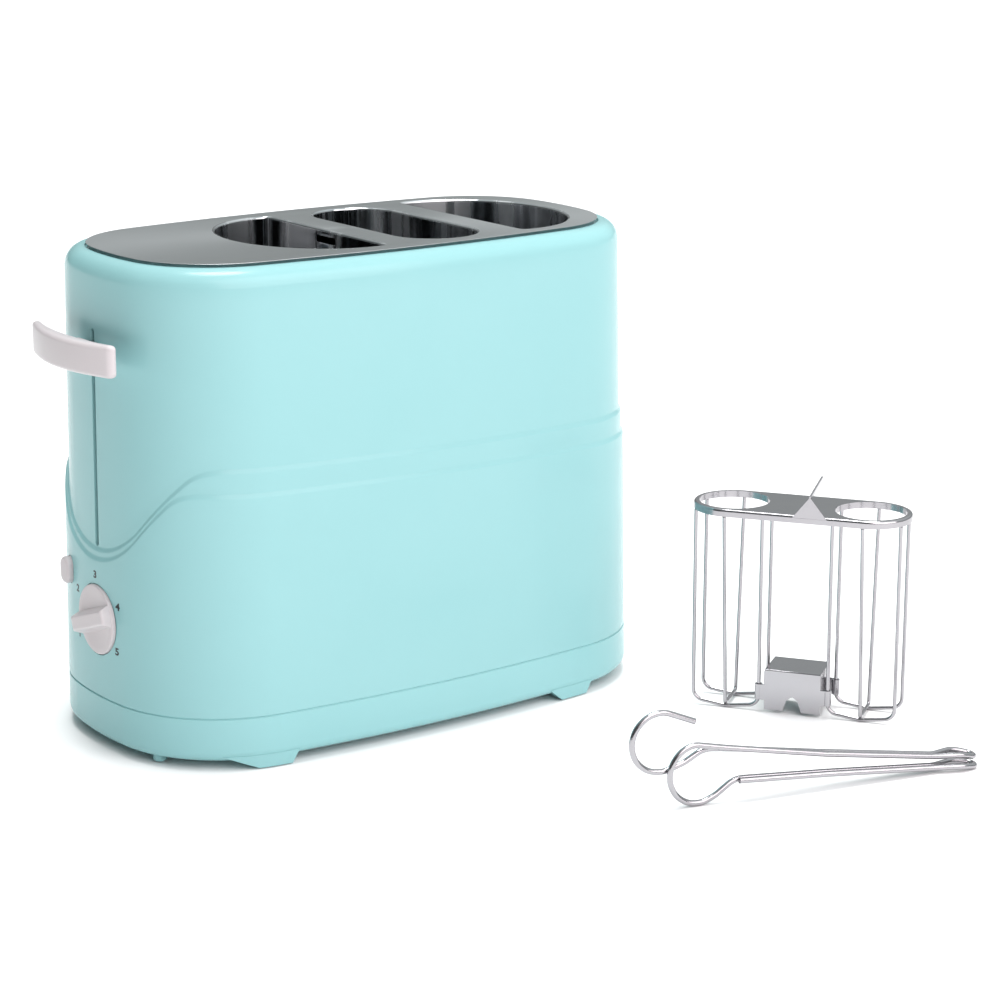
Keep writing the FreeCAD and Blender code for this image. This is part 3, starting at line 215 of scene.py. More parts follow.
# %% [markdown]
# ## Painted and moulded plastic
# The shell is glossy light aqua plastic, and the lever, dial and button are warm white. Moulded gloss is
# never quite still: the tone drifts a little, the surface carries a faint orange peel, and fine rubbing
# makes some places duller than others. One even colour would look like a toy, so noise moves all three.

# %% Shell, base and control plastic
def gloss_plastic(name, colour, deeper, gloss=0.2):
    """Tone drifts between two near colours, roughness between gloss and a little more, with a peel."""
    made = Finish(name, Coat_Roughness=0.08, IOR=1.42, Specular_IOR_Level=0.3)
    drift = made.noise(14, detail=2)
    rubbed = made.ramp(made.noise(60, detail=5), (0.42, 0.0), (0.72, 1.0))
    made.set(Base_Color=made.mix(drift, colour, deeper), Roughness=gloss + rubbed * 0.07,
             Coat_Weight=0.1 - rubbed * 0.04)
    made.bump(made.noise(420, detail=2), 0.00002)
    return made.material


finishes["shell_paint"] = gloss_plastic("shell_paint", tone(142, 188, 190), tone(137, 185, 187))
finishes["base_paint"] = gloss_plastic("base_paint", tone(142, 189, 191), tone(136, 186, 188))
finishes["control_plastic"] = gloss_plastic("control_plastic", tone(198, 192, 194), tone(192, 186, 188), 0.28)
print("plastics:", len(finishes))


# %% [markdown]
# ## Sheet and wire
# Every metal here is one function: a colour, a roughness that wanders, and fine lines drawn along one
# axis by noise that is stretched along it. Only the amounts differ between brushed plate and chrome.

# %% Metals
def metal(name, colour, darker, rough, wander, lines=(1, 1, 1), line_scale=900, depth=0.000004,
          anisotropic=0.0):
    """Roughness wanders by slow noise, and stretched noise gives the drawing or brushing lines."""
    made = Finish(name, Metallic=1.0, Anisotropic=anisotropic)
    slow = made.noise(35, detail=4)
    fine = made.noise(line_scale, lines, detail=4)
    made.set(Base_Color=made.mix(slow, colour, darker), Roughness=rough + (slow - 0.5) * wander + fine * 0.06)
    made.bump(fine, depth)
    return made.material


finishes["plate_steel"] = metal("plate_steel", tone(196, 199, 200), tone(186, 189, 191), 0.27, 0.05,
                                (0.02, 1, 1), 2200, 0.000006, 0.4)
finishes["wire_chrome"] = metal("wire_chrome", tone(176, 174, 177), tone(160, 158, 162), 0.14, 0.08,
                                depth=0.000001)
finishes["rod_steel"] = metal("rod_steel", tone(196, 197, 198), tone(176, 178, 180), 0.22, 0.1, (1, 1, 0.05))
finishes["tray_steel"] = metal("tray_steel", tone(190, 192, 194), tone(172, 174, 176), 0.3, 0.1, (0.03, 1, 1))
finishes["nichrome"] = metal("nichrome", tone(150, 140, 134), tone(112, 102, 98), 0.38, 0.2)
finishes["bronze"] = metal("bronze", tone(200, 160, 100), tone(160, 120, 70), 0.42, 0.15)
print("finishes so far:", sorted(finishes))


# %% [markdown]
# ## Drawn throats
# A press pulls the throats down into the wells, and the punch leaves upright streaks: some stay like a
# mirror and go dark, others scatter and stay pale. One noise, drawn out along Z, sets both.

# %% Drawn chrome
STREAKS = 70                                           # streaks in a metre, counted round the well


def drawn_chrome(name):
    """Roughness = 0.06 + 0.25 streak, where streak is noise stretched along Z and pushed to its ends."""
    made = Finish(name, Metallic=1.0)
    streak = made.ramp(made.noise(STREAKS, (1, 1, 0.08), detail=3), (0.46, 0.0), (0.58, 1.0))
    made.set(Base_Color=made.mix(streak, tone(186, 190, 193), tone(206, 209, 211)),
             Roughness=0.06 + streak * 0.25)
    made.bump(made.noise(260, (1, 1, 0.05), detail=2), 0.00003)
    return made.material


finishes["well_chrome"] = drawn_chrome("well_chrome")
print("a streak is about", round(1000 / STREAKS), "mm wide")


# %% [markdown]
# ## Galvanised sheet
# The hidden chassis is zinc-coated sheet. Its mark is the spangle: flat crystals a few millimetres
# wide, each a slightly different grey. A Voronoi texture gives each cell one value.

# %% Galvanised sheet
SPANGLES = 260.0                                       # crystals in a metre


def galvanised(name):
    """Voronoi cells give the crystals their own grey and roughness."""
    made = Finish(name, Metallic=1.0)
    cell = made.add("TexVoronoi", {"Vector": made.place, "Scale": SPANGLES}, output="Color")
    grey = made.add("RGBToBW", {"Color": cell})
    made.set(Base_Color=made.mix(grey, tone(176, 178, 180), tone(148, 151, 154)), Roughness=0.32 + grey * 0.2)
    made.bump(made.noise(800), 0.000008)
    return made.material


finishes["chassis_steel"] = galvanised("chassis_steel")
print("a crystal is about", round(1000 / SPANGLES, 1), "mm wide")


# %% [markdown]
# ## Small inner materials
# Rubber, mica, board, copper winding and black plastic are seen only through gaps, but each still has
# its own grain, so that nothing turns flat when someone opens the model.

# %% Rubber, mica, board, winding, black plastic
def plain(name, colour, other, rough, scale, depth, stretch=(1, 1, 1), **steady):
    """Two near tones mixed by noise, which also lifts the surface."""
    made = Finish(name, **steady)
    grain = made.noise(scale, stretch, detail=5)
    spread = made.ramp(grain, (0.35, 0.0), (0.65, 1.0))
    made.set(Base_Color=made.mix(spread, colour, other), Roughness=rough + spread * 0.12)
    made.bump(grain, depth)
    return made.material


finishes["foot_rubber"] = plain("foot_rubber", tone(44, 44, 45), tone(34, 34, 35), 0.7, 900, 0.00003)
finishes["mica"] = plain("mica", tone(206, 190, 150), tone(170, 150, 112), 0.4, 160, 0.00003, (1, 1, 2.5))
finishes["board"] = plain("board", tone(46, 104, 62), tone(36, 88, 52), 0.38, 500, 0.00001)
finishes["copper"] = plain("copper", tone(190, 110, 70), tone(150, 78, 48), 0.3, 300, 0.00008, (1, 1, 12),
                           Metallic=1.0)
finishes["black_plastic"] = plain("black_plastic", tone(30, 30, 31), tone(22, 22, 23), 0.42, 700, 0.00001)
print("finishes:", len(finishes))


# %% [markdown]
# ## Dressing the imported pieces
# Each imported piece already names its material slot, so the finishes are handed out by that name.

# %% Assign the finishes
slots = {part["node"]: part["material_slot"] for part in frame["record"]["subparts"]}
for name, packed in frame["nodes"].items():
    packed.data.materials.clear()
    packed.data.materials.append(finishes[slots[name]])
print("dressed:", len(slots), "pieces")


# %% [markdown]
# ## The plan of the housing
# Seen from above, the real housing is an oval of eight arcs that meet without a corner: a wide arc at
# each end, a much flatter one along each side, and a tight one between them. It could be traced by eye
# with a curve, but tangent arcs follow from three radii, so one formula gives any line that runs round
# the body: a point is found from the direction in which the outline faces there.

# %% The plan's formula
END_RADIUS, END_X = 149.0, 118.6 - 149.0               # the end arc and its middle, which lies on X
SIDE_RADIUS, SIDE_Y = 739.0, 59.8 - 739.0              # the side arc and its middle, which lies on Y
BEND_RADIUS = 41.7


def bend_middle():
    """Middle of the tight arc: it lies inside both wide arcs by the difference of the radii."""
    to_end, to_side, span = END_RADIUS - BEND_RADIUS, SIDE_RADIUS - BEND_RADIUS, math.hypot(END_X, SIDE_Y)
    along = (to_end ** 2 - to_side ** 2 + span ** 2) / (2 * span)
    across = math.sqrt(to_end ** 2 - along ** 2)
    ux, uy = -END_X / span, SIDE_Y / span
    return END_X + ux * along - uy * across, uy * along + ux * across


BEND_X, BEND_Y = bend_middle()
FIRST_TURN = math.atan2(BEND_Y, BEND_X - END_X)        # where the end arc gives way to the tight one
SECOND_TURN = math.atan2(BEND_Y - SIDE_Y, BEND_X)      # where that one gives way to the side arc


def plan(turn, grown):
    """Points of the oval that face along turn (radians from +X), moved outwards by grown:
    x = middle_x + (radius + grown) cos, y = middle_y + (radius + grown) sin, folded into one quarter."""
    across, along = np.cos(turn), np.sin(turn)
    quarter = np.arctan2(np.abs(along), np.abs(across))
    at_end, at_bend = quarter <= FIRST_TURN, (quarter > FIRST_TURN) & (quarter <= SECOND_TURN)
    middle_x = np.select([at_end, at_bend], [END_X, BEND_X], 0.0)
    middle_y = np.select([at_end, at_bend], [0.0, BEND_Y], SIDE_Y)
    radius = np.select([at_end, at_bend], [END_RADIUS, BEND_RADIUS], SIDE_RADIUS) + grown
    return (np.sign(across) * (middle_x + radius * np.abs(across)),
            np.sign(along) * (middle_y + radius * np.abs(along)))


def round_the_plan(at_end, at_bend, at_side):
    """Directions once round, with so many points on each arc of a quarter."""
    quarter = np.concatenate([np.linspace(0, FIRST_TURN, at_end)[:-1],
                              np.linspace(FIRST_TURN, SECOND_TURN, at_bend)[:-1],
                              np.linspace(SECOND_TURN, math.pi / 2, at_side)])
    half = np.concatenate([quarter, math.pi - quarter[-2::-1]])
    return np.concatenate([half[:-1], half[:-1] + math.pi])


PLATE_TURNS = round_the_plan(7, 30, 14)
SHELL_TURNS = round_the_plan(18, 56, 16)
print("points round the plate and the shell:", len(PLATE_TURNS), len(SHELL_TURNS))


# %% [markdown]
# ## Three drawn wells
# The plate's wells are pressed through one sheet: a soft lip rolls over from the flat, and a throat
# goes straight down from it. Two are D-shaped and take the bun halves, and the long one takes the cage.
# Each well is one line round the hole, and each point of the line knows the direction away from the
# hole. The lip and throat are that line, moved outwards and down along one short profile.

# %% Lines round the wells
BUN_DEPTH, BUN_HALF, SHOULDER, CORNER = 47.15, 49.5, 6.0, 3.0       # half is half of the straight side
STRAIGHTS = {"left_bun_well": -12.2, "right_bun_well": 60.2}        # X of each straight side
CAGE_MIDDLE, CAGE_HALF_WIDTH, CAGE_HALF_LENGTH = 24.0, 19.7, 50.4
WINDOW_HALF, WINDOW_TOP, WINDOW_FOOT = 8.0, 212.2, 208.8


def bun_line(straight, side):
    """(x, y, away_x, away_y) round a D: a straight side at x = straight, two small corners, two short
    shoulders, and half an ellipse (x, y) = (shoulder + a cos t, b sin t), facing (cos t / a, sin t / b)."""
    run = BUN_HALF - CORNER
    y = np.concatenate([[-run, -30], np.linspace(-WINDOW_HALF, WINDOW_HALF, 5), [30, run]])
    upright = np.stack([np.full_like(y, straight), y, np.full_like(y, -side), 0 * y], -1)
    a = np.linspace(0, math.pi / 2, 7)[1:]
    corner = np.stack([straight + side * CORNER * (1 - np.cos(a)), run + CORNER * np.sin(a),
                       -side * np.cos(a), np.sin(a)], -1)
    t = np.linspace(math.pi / 2, -math.pi / 2, 61)
    wide = BUN_DEPTH - SHOULDER
    face = np.stack([side * np.cos(t) / wide, np.sin(t) / BUN_HALF], -1)
    face /= np.linalg.norm(face, axis=1, keepdims=True)
    crown = np.stack([straight + side * (SHOULDER + wide * np.cos(t)), BUN_HALF * np.sin(t),
                      face[:, 0], face[:, 1]], -1)
    mirrored = corner[::-1] * (1, -1, 1, -1)
    line = np.concatenate([upright, corner, crown, mirrored])
    return line if side < 0 else line[::-1]


def cage_line(middle, half_width, half_length):
    """(x, y, away_x, away_y) round the long well: half circles (middle + w cos a, run + w sin a), which
    face (cos a, sin a), joined by straight sides."""
    run = half_length - half_width
    a = np.linspace(0, math.pi, 37)
    far = np.stack([middle + half_width * np.cos(a), run + half_width * np.sin(a), np.cos(a), np.sin(a)], -1)
    near = (far * (1, -1, 1, -1))[::-1]
    y = np.linspace(run, -run, 7)[1:-1]
    left = np.stack([np.full_like(y, middle - half_width), y, np.full_like(y, -1), 0 * y], -1)
    right = left[::-1] * (0, 1, -1, 1) + (middle + half_width, 0, 0, 0)
    return np.concatenate([far, left, near, right])


WELL_LINES = {"left_bun_well": bun_line(STRAIGHTS["left_bun_well"], -1),
              "cage_well": cage_line(CAGE_MIDDLE, CAGE_HALF_WIDTH, CAGE_HALF_LENGTH),
              "right_bun_well": bun_line(STRAIGHTS["right_bun_well"], 1)}
print("points round the wells:", {name: len(line) for name, line in WELL_LINES.items()})


# %% [markdown]
# ## Making a mesh from arrays
# A form is worked out as one numpy array of points, in rows that each run once round the body. Modelling
# by hand would do for one throat, but rows and quads from arrays serve all three, and the shell as well.

# %% From points to a piece
def to_world(x, y, z):
    """Millimetres from the housing's middle to metres in the model's frame."""
    return np.stack([x * MM + MIDDLE_X, y * MM + MIDDLE_Y, z * MM], -1)


def grid_faces(rows, columns):
    """Quads between rows of points. Each row runs all the way round, so its last point meets its first."""
    r, c = np.arange(rows - 1)[:, None], np.arange(columns)[None, :]
    after = (c + 1) % columns
    corners = [r * columns + c, r * columns + after, (r + 1) * columns + after, (r + 1) * columns + c]
    return np.stack(corners, -1).reshape(-1, 4)


def new_piece(name, mesh, body, finish, replaced):
    """Gives a mesh a finish, a body to ride on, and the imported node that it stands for."""
    mesh.polygons.foreach_set("use_smooth", np.ones(len(mesh.polygons), bool))
    mesh.materials.append(finishes[finish])
    mesh.update()
    piece = link(name, mesh)
    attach(piece, body)
    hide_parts(replaced)
    print(name, len(mesh.vertices), "points", len(mesh.polygons), "faces")
    return piece


def grid_piece(name, points, faces, body, finish, replaced):
    """A piece straight from a grid of points and its quads."""
    mesh = bpy.data.meshes.new(name)
    mesh.from_pydata(points.reshape(-1, 3).tolist(), [], faces.tolist())
    return new_piece(name, mesh, body, finish, replaced)


print("a ring of 4 points and one above it share", len(grid_faces(2, 4)), "faces")


# %% [markdown]
# ## Lips and throats
# The throats are polished like mirrors, the flat is only satin, so they are pieces of their own. A
# throat is open sheet, and a Solidify modifier gives the sheet its thickness, away from the hole. The
# straight side of each bun throat has a small window, made by leaving out the quads that lie in it.

# %% Lips and throats of the wells
PLATE_TOP = 215.0
LIP = 1.1                                              # radius of the rolled lip
TAPER, TAPER_DEPTH = 0.6, 40.0                         # the throat narrows by so much over so much


def solidify(piece, thickness):
    """Gives a sheet its second side, so many millimetres behind the first."""
    sheet = piece.modifiers.new("sheet", "SOLIDIFY")
    sheet.thickness, sheet.offset = thickness * MM, -1.0


def even_normals(piece):
    """Normals that follow the large faces and not the cut edges."""
    piece.modifiers.new("even", "WEIGHTED_NORMAL").weight = 80


# The lip is a quarter circle: out = r (1 - sin a), down = r (1 - cos a).
roll = np.linspace(0, math.pi / 2, 9)
lip_out, lip_z = LIP * (1 - np.sin(roll)), PLATE_TOP - LIP * (1 - np.cos(roll))
throat_z = np.array([WINDOW_TOP, WINDOW_FOOT, 204.0, 197.0, 188.0, 180.0, 173.9])
throat_out = -TAPER * (PLATE_TOP - LIP - throat_z) / TAPER_DEPTH
profile_out = np.concatenate([lip_out, throat_out])
profile_z = np.concatenate([lip_z, throat_z])
for well, line in WELL_LINES.items():
    xy = line[None, :, :2] + line[None, :, 2:] * profile_out[:, None, None]
    points = to_world(xy[..., 0], xy[..., 1], np.broadcast_to(profile_z[:, None], xy.shape[:2]))
    faces = grid_faces(len(profile_z), len(line))
    if well in STRAIGHTS:
        row, column = np.divmod(np.arange(len(faces)), len(line))
        y = (line[:, 1] + np.roll(line[:, 1], -1)) / 2
        square = (np.abs(line[:, 2]) > 0.999) & (np.abs(line[:, 3]) < 1e-9)
        straight = np.abs(line[:, 0] - STRAIGHTS[well]) < 0.01
        window = (row == len(lip_z)) & (square & straight & (np.abs(y) < WINDOW_HALF))[column]
        faces = faces[~window]
    throat = grid_piece(well + "_throat", points, faces, "housing", "well_chrome", "top_plate")
    solidify(throat, 0.9)
    even_normals(throat)


# %% [markdown]
# ## Loose faces, curves and text
# Some forms need faces with many corners, such as the end of a bar, or come from Blender's own curves
# and text. Their points are joined where they touch, and their faces turned outwards, before any
# modifier runs. What a modifier, curve or text makes is read back as a plain mesh.

# %% More ways to a mesh
def outward_mesh(name, points, faces, join=False):
    """A mesh of faces of any length that all look outwards; if join, points that touch become one."""
    mesh = bpy.data.meshes.new(name)
    mesh.from_pydata(points.tolist(), [], faces)
    builder = bmesh.new()
    builder.from_mesh(mesh)
    if join:
        bmesh.ops.remove_doubles(builder, verts=builder.verts, dist=0.01 * MM)
    bmesh.ops.recalc_face_normals(builder, faces=builder.faces)
    builder.to_mesh(mesh)
    builder.free()
    return mesh


def finished_mesh(thing):
    """The mesh of an object, curve or text after its modifiers have run."""
    bpy.context.view_layer.update()
    return bpy.data.meshes.new_from_object(thing.evaluated_get(bpy.context.evaluated_depsgraph_get()))


def points_of(mesh):
    """All points of a mesh as one array of rows (x, y, z)."""
    found = np.zeros(len(mesh.vertices) * 3)
    mesh.vertices.foreach_get("co", found)
    return found.reshape(-1, 3)


print("meshes so far:", len(bpy.data.meshes))


# %% [markdown]
# ## The plate's flat and rim
# The flat is one even surface with three holes. Blender fills such a shape between closed lines of a
# flat curve, so the outline and the three well lines go into one curve, which is then made a mesh.
# A small roll follows the outline, and the edge stands over a set-back rim, which leaves a dark line.

# %% The plate
EDGE = 0.15                                            # radius of the roll round the outline
UNDERCUT = ((-0.9, 214.4), (-1.5, 213.95), (-1.6, 212.35))     # out and height of the set-back rim
outline = bpy.data.curves.new("plate_outline", "CURVE")
outline.dimensions, outline.fill_mode = "2D", "BOTH"
loops = [np.stack(plan(PLATE_TURNS, -EDGE), -1)]
loops += [line[:, :2] + line[:, 2:] * LIP for line in WELL_LINES.values()]
for loop in loops:
    spline = outline.splines.new("POLY")
    spline.points.add(len(loop) - 1)
    flat_points = np.concatenate([loop, np.zeros((len(loop), 1)), np.ones((len(loop), 1))], 1)
    spline.points.foreach_set("co", flat_points.ravel())
    spline.use_cyclic_u = True
drawn = link("plate_outline", outline)
flat = finished_mesh(drawn)
bpy.data.objects.remove(drawn)
filled = points_of(flat)
flat_faces = [list(face.vertices) for face in flat.polygons]
print("flat:", len(filled), "points", len(flat_faces), "faces")

roll = np.linspace(0, math.pi / 2, 6)
rim_out = np.concatenate([-EDGE * (1 - np.sin(roll)), [out for out, z in UNDERCUT]])
rim_z = np.concatenate([PLATE_TOP - EDGE * (1 - np.cos(roll)), [z for out, z in UNDERCUT]])
rim_x, rim_y = plan(PLATE_TURNS[None, :], rim_out[:, None])
rim_points = to_world(rim_x, rim_y, np.broadcast_to(rim_z[:, None], rim_x.shape)).reshape(-1, 3)
points = np.concatenate([to_world(filled[:, 0], filled[:, 1], np.full(len(filled), PLATE_TOP)), rim_points])
rim_faces = grid_faces(len(rim_z), len(PLATE_TURNS))[:, ::-1] + len(filled)
sheet = outward_mesh("plate_sheet", points, flat_faces + rim_faces.tolist(), join=True)
plate = new_piece("plate_sheet", sheet, "housing", "plate_steel", "top_plate")
facing = np.zeros(len(sheet.polygons) * 3)
sheet.polygons.foreach_get("normal", facing)
if facing.reshape(-1, 3)[:, 2].sum() < 0:
    sheet.flip_normals()
solidify(plate, 0.3)
even_normals(plate)


# %% [markdown]
# ## The control end's wall
# The dial, its numbers and the button sit on a wall that curves and leans. The shell's openings and the
# printed numbers both have to find it, so the wall's formula comes first: the plan's end arc, which
# grows outwards as it goes down.

# %% The wall's formula
RIM, DRAFT, STEP = 9.2, 0.017, 1.9                     # painted rim, lean of the wall, both steps together


def end_wall(y, z):
    """X of the control end's wall in millimetres, for y from the middle plane and z from the floor:
    x = -(end_x + sqrt((radius + grown)^2 - y^2)), with grown = rim + draft (top - z) + step."""
    grown = RIM + DRAFT * (PLATE_TOP - z) + STEP
    return -(END_X + np.sqrt((END_RADIUS + grown) ** 2 - y ** 2))


print("the wall leans out", round(100 * DRAFT, 1), "mm in 100 mm")


# %% [markdown]
# ## The ledge
# Two fine steps run round the body and dip in a wide U below the lever, because the mould parts there.
# On the real shell they are soft swells, not cuts. A knife cut and a bevel would give hard lines, so
# here the wall itself swells: its growth outwards rises smoothly as it passes each step's height.

# %% The ledge's height
STEPS = ((129.5, 87.5, 42.0), (119.0, 83.5, 40.0))     # height on the sides, height of the dip, its radius
SLOPE, SHOULDER_RADIUS, RAKE = math.radians(50.0), 14.0, math.sin(math.radians(0.9))
DIP_ENDS = -59.3                                       # the dip lies between the control end and this X


def ledge_height(step, x, y):
    """Height of one step at points of the wall: along the sides it is level, apart from a slight rake.
    At the control end it follows an arc z = dip + r - sqrt(r^2 - y^2), then a straight slope, then a
    rounded shoulder that brings it level again."""
    flat, dip, radius = STEPS[step]
    arc_y, arc_z = radius * math.sin(SLOPE), dip + radius * (1 - math.cos(SLOPE))
    tangent = SHOULDER_RADIUS * math.tan(SLOPE / 2)
    knee_y = arc_y + (flat - arc_z) / math.tan(SLOPE)
    ramp_y, level_y = knee_y - tangent * math.cos(SLOPE), knee_y + tangent
    side = np.abs(y)
    bowl = dip + radius - np.sqrt(np.maximum(radius ** 2 - side ** 2, 0))
    slope = arc_z + (side - arc_y) * math.tan(SLOPE)
    shoulder = flat - SHOULDER_RADIUS + np.sqrt(np.maximum(SHOULDER_RADIUS ** 2 - (level_y - side) ** 2, 0))
    dipped = np.select([side < arc_y, side < ramp_y, side < level_y], [bowl, slope, shoulder], flat)
    return np.where(x < DIP_ENDS, dipped, flat) - x * RAKE


print("the steps dip by", [flat - dip for flat, dip, radius in STEPS], "mm")


# %% [markdown]
# ## Rows up the wall
# The shell is one surface: a few rows of points below the steps, close rows over each swell, and more up
# to the rim. The rows follow the ledge instead of staying level, so few of them are needed.

# %% The rows
SWELL, LEAD = 2.4, 0.3                                 # a step rises from LEAD above its mark to SWELL below
FOOT, BEVEL = 23.2, 0.5                                # the lower edge and its small bevel
RIM_TOP, ROUND, RIM_OUT = 213.7, 8.0, RIM + 0.02       # the painted rim: its top, its turn, and its outside
wall_x, wall_y = plan(SHELL_TURNS, RIM + 1.5)          # about where the outline lies at the steps
upper, lower = ledge_height(0, wall_x, wall_y), ledge_height(1, wall_x, wall_y)
level = np.ones_like(wall_x)
marks = [FOOT * level, (FOOT + BEVEL) * level, lower - SWELL, lower + LEAD, upper - SWELL, upper + LEAD,
         (RIM_TOP - ROUND) * level]
counts = [1, 9, 10, 3, 10, 12]                         # rows from each mark to the next
rows = []
for start, end, count in zip(marks, marks[1:], counts):
    rows += [start + (end - start) * k / count for k in range(count)]
wall_z = np.stack(rows + [marks[-1]])
print("rows up the wall:", len(wall_z))


# %% [markdown]
# ## The shell
# From the rim down, the outline grows by the lean of the wall, and by half of the steps at each swell.
# At the top a quarter circle turns the rim in, and a small lip tucks it under the plate's edge. The
# wall's thickness comes from Solidify, because the inside shows only through the openings.

# %% The shell's surface
TUCK = ((0.75, RIM_TOP), (0.45, 213.6), (0.35, 213.3), (0.35, 212.35), (-3.0, 212.3))     # out, height


def soft(share):
    """Rises smoothly from 0 to 1 as share goes from 0 to 1: 3 s^2 - 2 s^3."""
    share = np.clip(share, 0, 1)
    return share ** 2 * (3 - 2 * share)


swell = soft((upper + LEAD - wall_z) / (SWELL + LEAD)) + soft((lower + LEAD - wall_z) / (SWELL + LEAD))
grown = RIM + DRAFT * (PLATE_TOP - wall_z) + STEP / 2 * swell
grown[0] -= BEVEL
turn_in = np.linspace(0, math.pi / 2, 12)[1:]
rim_z = np.concatenate([RIM_TOP - ROUND * (1 - np.sin(turn_in)), [z for out, z in TUCK]])
rim_grown = np.concatenate([RIM_OUT - ROUND * (1 - np.cos(turn_in)), [out for out, z in TUCK]])
wall_z = np.concatenate([wall_z, np.repeat(rim_z[:, None], len(SHELL_TURNS), 1)])
grown = np.concatenate([grown, np.repeat(rim_grown[:, None], len(SHELL_TURNS), 1)])
shell_x, shell_y = plan(SHELL_TURNS[None, :], grown)
shell = grid_piece("housing_shell", to_world(shell_x, shell_y, wall_z),
                   grid_faces(len(wall_z), len(SHELL_TURNS)), "housing", "shell_paint", "outer_shell")
solidify(shell, 2.2)


# %% [markdown]
# ## Openings in the shell
# The lever's slot, the dial's shallow recess with its shaft hole, and the button's hole are cut with
# simple prisms. Each cutter is a closed outline swept along X. They do their work and are taken away.

# %% Cut the openings
DIAL_Y, DIAL_Z = -2.0, 57.6
OUTSIDE, THROUGH = -170.0, -100.0                      # X of a cutter's ends, before and behind the wall
RECESS_X = float(end_wall(DIAL_Y, DIAL_Z)) + 1.1       # floor of the recess, 1.1 mm behind the wall


def prism(y, z, near, far):
    """A closed outline in the YZ plane at two X values, as points, with side and end faces."""
    count = len(y)
    points = np.concatenate([to_world(np.full(count, near), y, z), to_world(np.full(count, far), y, z)])
    k = np.arange(count)
    sides = np.stack([k, (k + 1) % count, (k + 1) % count + count, k + count], -1).tolist()
    return points, sides + [k[::-1].tolist(), (k + count).tolist()]


def capsule(y, z, half_width, half_height):
    """An upright outline with round ends: (y, z) = middle + w (cos a, sin a), with the upper half moved
    up and the lower half down by the straight run."""
    a = np.linspace(0, math.pi, 17)
    run = half_height - half_width
    around = np.concatenate([a, a + math.pi])
    return (y + half_width * np.cos(around),
            z + half_width * np.sin(around) + np.repeat([run, -run], len(a)))


def disc(y, z, radius):
    """A circle: (y, z) = middle + radius (cos a, sin a)."""
    a = np.linspace(0, 2 * math.pi, 65)[:-1]
    return y + radius * np.cos(a), z + radius * np.sin(a)


cuts = {"slot": (capsule(0, 136.75, 1.5, 47.25), THROUGH),
        "recess": (disc(DIAL_Y, DIAL_Z, 15.8), RECESS_X),
        "shaft_hole": (disc(DIAL_Y, DIAL_Z, 4.5), THROUGH),
        "button_hole": (capsule(26.5, 73.0, 4.3, 6.3), THROUGH)}
cutters = []
for name, ((y, z), depth_x) in cuts.items():
    cutters.append(link(name, outward_mesh(name, *prism(y, z, OUTSIDE, depth_x))))
    cut = shell.modifiers.new(name, "BOOLEAN")
    cut.operation, cut.solver, cut.object = "DIFFERENCE", "EXACT", cutters[-1]
whole = finished_mesh(shell)
shell.modifiers.clear()
shell.data = whole
for cutter in cutters:
    bpy.data.objects.remove(cutter)
whole.set_sharp_from_angle(angle=math.radians(38))
print("shell with openings:", len(whole.vertices), "points")


# %% [markdown]
# ## Sections from end to end
# A moulded bar can be built from closed sections that follow each other, joined by quads and closed with
# a cap at each end. Bending and bevelling a box would blur the ends, and sections keep them exact.

# %% Sections
def rounded_rectangle(half_u, half_v, radius):
    """Corner arcs (u, v) = corner + r (cos a, sin a), one after the other."""
    a = np.linspace(0, math.pi / 2, 6)
    u = np.concatenate([half_u - radius + radius * np.cos(a), radius - half_u - radius * np.sin(a),
                        radius - half_u - radius * np.cos(a), half_u - radius + radius * np.sin(a)])
    v = np.concatenate([half_v - radius + radius * np.sin(a), half_v - radius + radius * np.cos(a),
                        radius - half_v - radius * np.sin(a), radius - half_v - radius * np.cos(a)])
    return u, v


def stacked(sections, first):
    """Points of the sections, and faces that count from first: quads between them, a cap at each end."""
    around = len(sections[0])
    last = first + (len(sections) - 1) * around
    caps = [[first + k for k in range(around)], [last + k for k in range(around)][::-1]]
    return np.concatenate(sections), (grid_faces(len(sections), around) + first).tolist() + caps


print("points in a section:", len(rounded_rectangle(3.0, 2.0, 1.0)[0]))


# %% [markdown]
# ## The lever's handle
# The handle is a moulded paddle that bows away from the wall and thins towards its ends, so that a
# finger fits behind it. A bent box would keep one thickness. Here the front and the back are two
# parabolas of their own, and rounded sections of the space between them are joined from end to end.

# %% The handle
HANDLE_HALF, HANDLE_TALL, HANDLE_MIDDLE, HANDLE_ROUND = 35.0, 6.9, 176.2, 2.2
FRONT, FRONT_BOW = -146.5, 7.5                         # X at the middle, and how far the ends lie behind it
BACK, BACK_BOW = -139.4, 4.4
BOSS_HALF_Y, BOSS_HALF_Z, BOSS_ROUND, BOSS_MIDDLE = 6.6, 4.9, 1.8, 175.0
BOSS = ((-141.0, 0), (-134.5, 0), (-132.2, 0.1), (-130.9, 0.6), (-130.6, 1.3))      # X, and shrink there
BETWEEN = 31                                           # sections between the two rounded tips
straight = HANDLE_HALF - HANDLE_ROUND
ease = np.sin(np.linspace(0, math.pi / 2, 7))[1:]
tip = straight + HANDLE_ROUND * ease
inward = HANDLE_ROUND * (1 - np.sqrt(1 - ease ** 2))
stations = np.concatenate([-tip[::-1], np.linspace(-straight, straight, BETWEEN), tip])
shrink = np.concatenate([inward[::-1], np.zeros(BETWEEN), inward])
bow = (stations / HANDLE_HALF) ** 2                    # 0 at the middle, 1 at the ends
